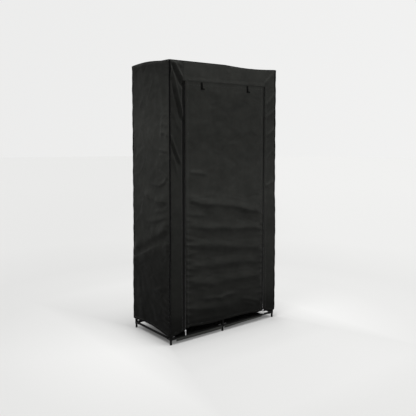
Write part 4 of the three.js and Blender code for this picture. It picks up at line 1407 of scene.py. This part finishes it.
def make_floor():
    """Paper that the camera sees in the photo's tones, and that lights the object as a dark grey would."""
    bpy.ops.mesh.primitive_circle_add(vertices=96, radius=30, fill_type="NGON", location=(0, 0, 0))
    floor = bpy.context.active_object
    floor.name = "floor"
    paint = Paint("floor_paper", grey(0.8), 0.9)
    away = paint.vector("LENGTH", paint.place(), output="Value")
    tone = across_frame(paint, paint.place(), 1.5, paint.curve(away, FAR_FLOOR, 10.0, 0.99), 0.965, 1.03)
    off_x, off_y = (paint.maths("SUBTRACT", paint.maths("ABSOLUTE", paint.axis(name)), half)
                    for name, half in (("X", COVER_X), ("Y", COVER_Y)))
    edge = paint.maths("MAXIMUM", paint.maths("MULTIPLY", off_x, 3.0), off_y)
    # Painted shadow of the object on the floor near it
    near = paint.curve(paint.maths("ADD", edge, NEAR_START), NEAR_FLOOR_SHADOW, 1.2)
    seen = paint.vector("MULTIPLY", tone, near)
    paint.shade({"Base Color": paint.mix(seen_rays(paint), grey(0.3), seen), "Specular IOR Level": 0.0})
    glowing = paint.maths("MULTIPLY", paint.ramp(edge, 0.0, 0.3, 0.3, 0.74), seen_rays(paint))
    surface = blended(paint, glowing, paint.shader.outputs["BSDF"], paint.add("Emission", {"Color": seen}))
    paint.set(paint.nodes["Material Output"], {"Surface": surface})
    floor.data.materials.append(paint.material)


def make_world():
    world = bpy.data.worlds.new("studio")
    bpy.context.scene.world = world
    tree = Tree(world)
    tree.nodes.clear()
    towards = tree.add("TexCoord", output="Generated")
    wall = across_frame(tree, towards, 0.35, (0.86, 0.86, 0.855), 0.98, 1.025)
    strength = tree.ramp(tree.axis("Z", towards), 0.0, 0.9, 0.12, 0.45)
    lighting = tree.add("Background", {"Strength": strength})
    seen = tree.add("Background", {"Color": wall})
    output = tree.nodes.new("ShaderNodeOutputWorld")
    tree.set(output, {"Surface": blended(tree, seen_rays(tree), lighting, seen)})


def make_sun(name, azimuth, elevation, strength, angle):
    """A soft light from a direction: azimuth from -Y towards +X, in degrees."""
    light = bpy.data.lights.new(name, "SUN")
    light.energy = strength
    light.angle = math.radians(angle)
    a, e = math.radians(azimuth), math.radians(elevation)
    source = Vector((math.sin(a) * math.cos(e), -math.cos(a) * math.cos(e), math.sin(e)))
    lamp = placed(name, light)
    lamp.rotation_euler = source.to_track_quat("Z", "Y").to_euler()
    lamp.location = source * 4


def make_camera():
    """The photo's camera, as fitted to the foot ends and the cover's corners."""
    data = bpy.data.cameras.new("camera")
    data.lens = 47.81
    data.sensor_width = 36
    data.shift_y = -0.075
    data.clip_end = 200
    camera = placed("camera", data)
    camera.location = (-2.1258, -2.717, 1.1796)
    camera.rotation_euler = (math.pi / 2 - 0.0728, 0, -0.6675)
    bpy.context.scene.camera = camera


make_floor()
make_world()
make_sun("left", -75, 66, 1.6, 22)
make_sun("right", 40, 55, 1.2, 34)
make_sun("back", 165, 30, 0.7, 40)
make_camera()
bpy.context.scene.view_settings.view_transform = "Standard"
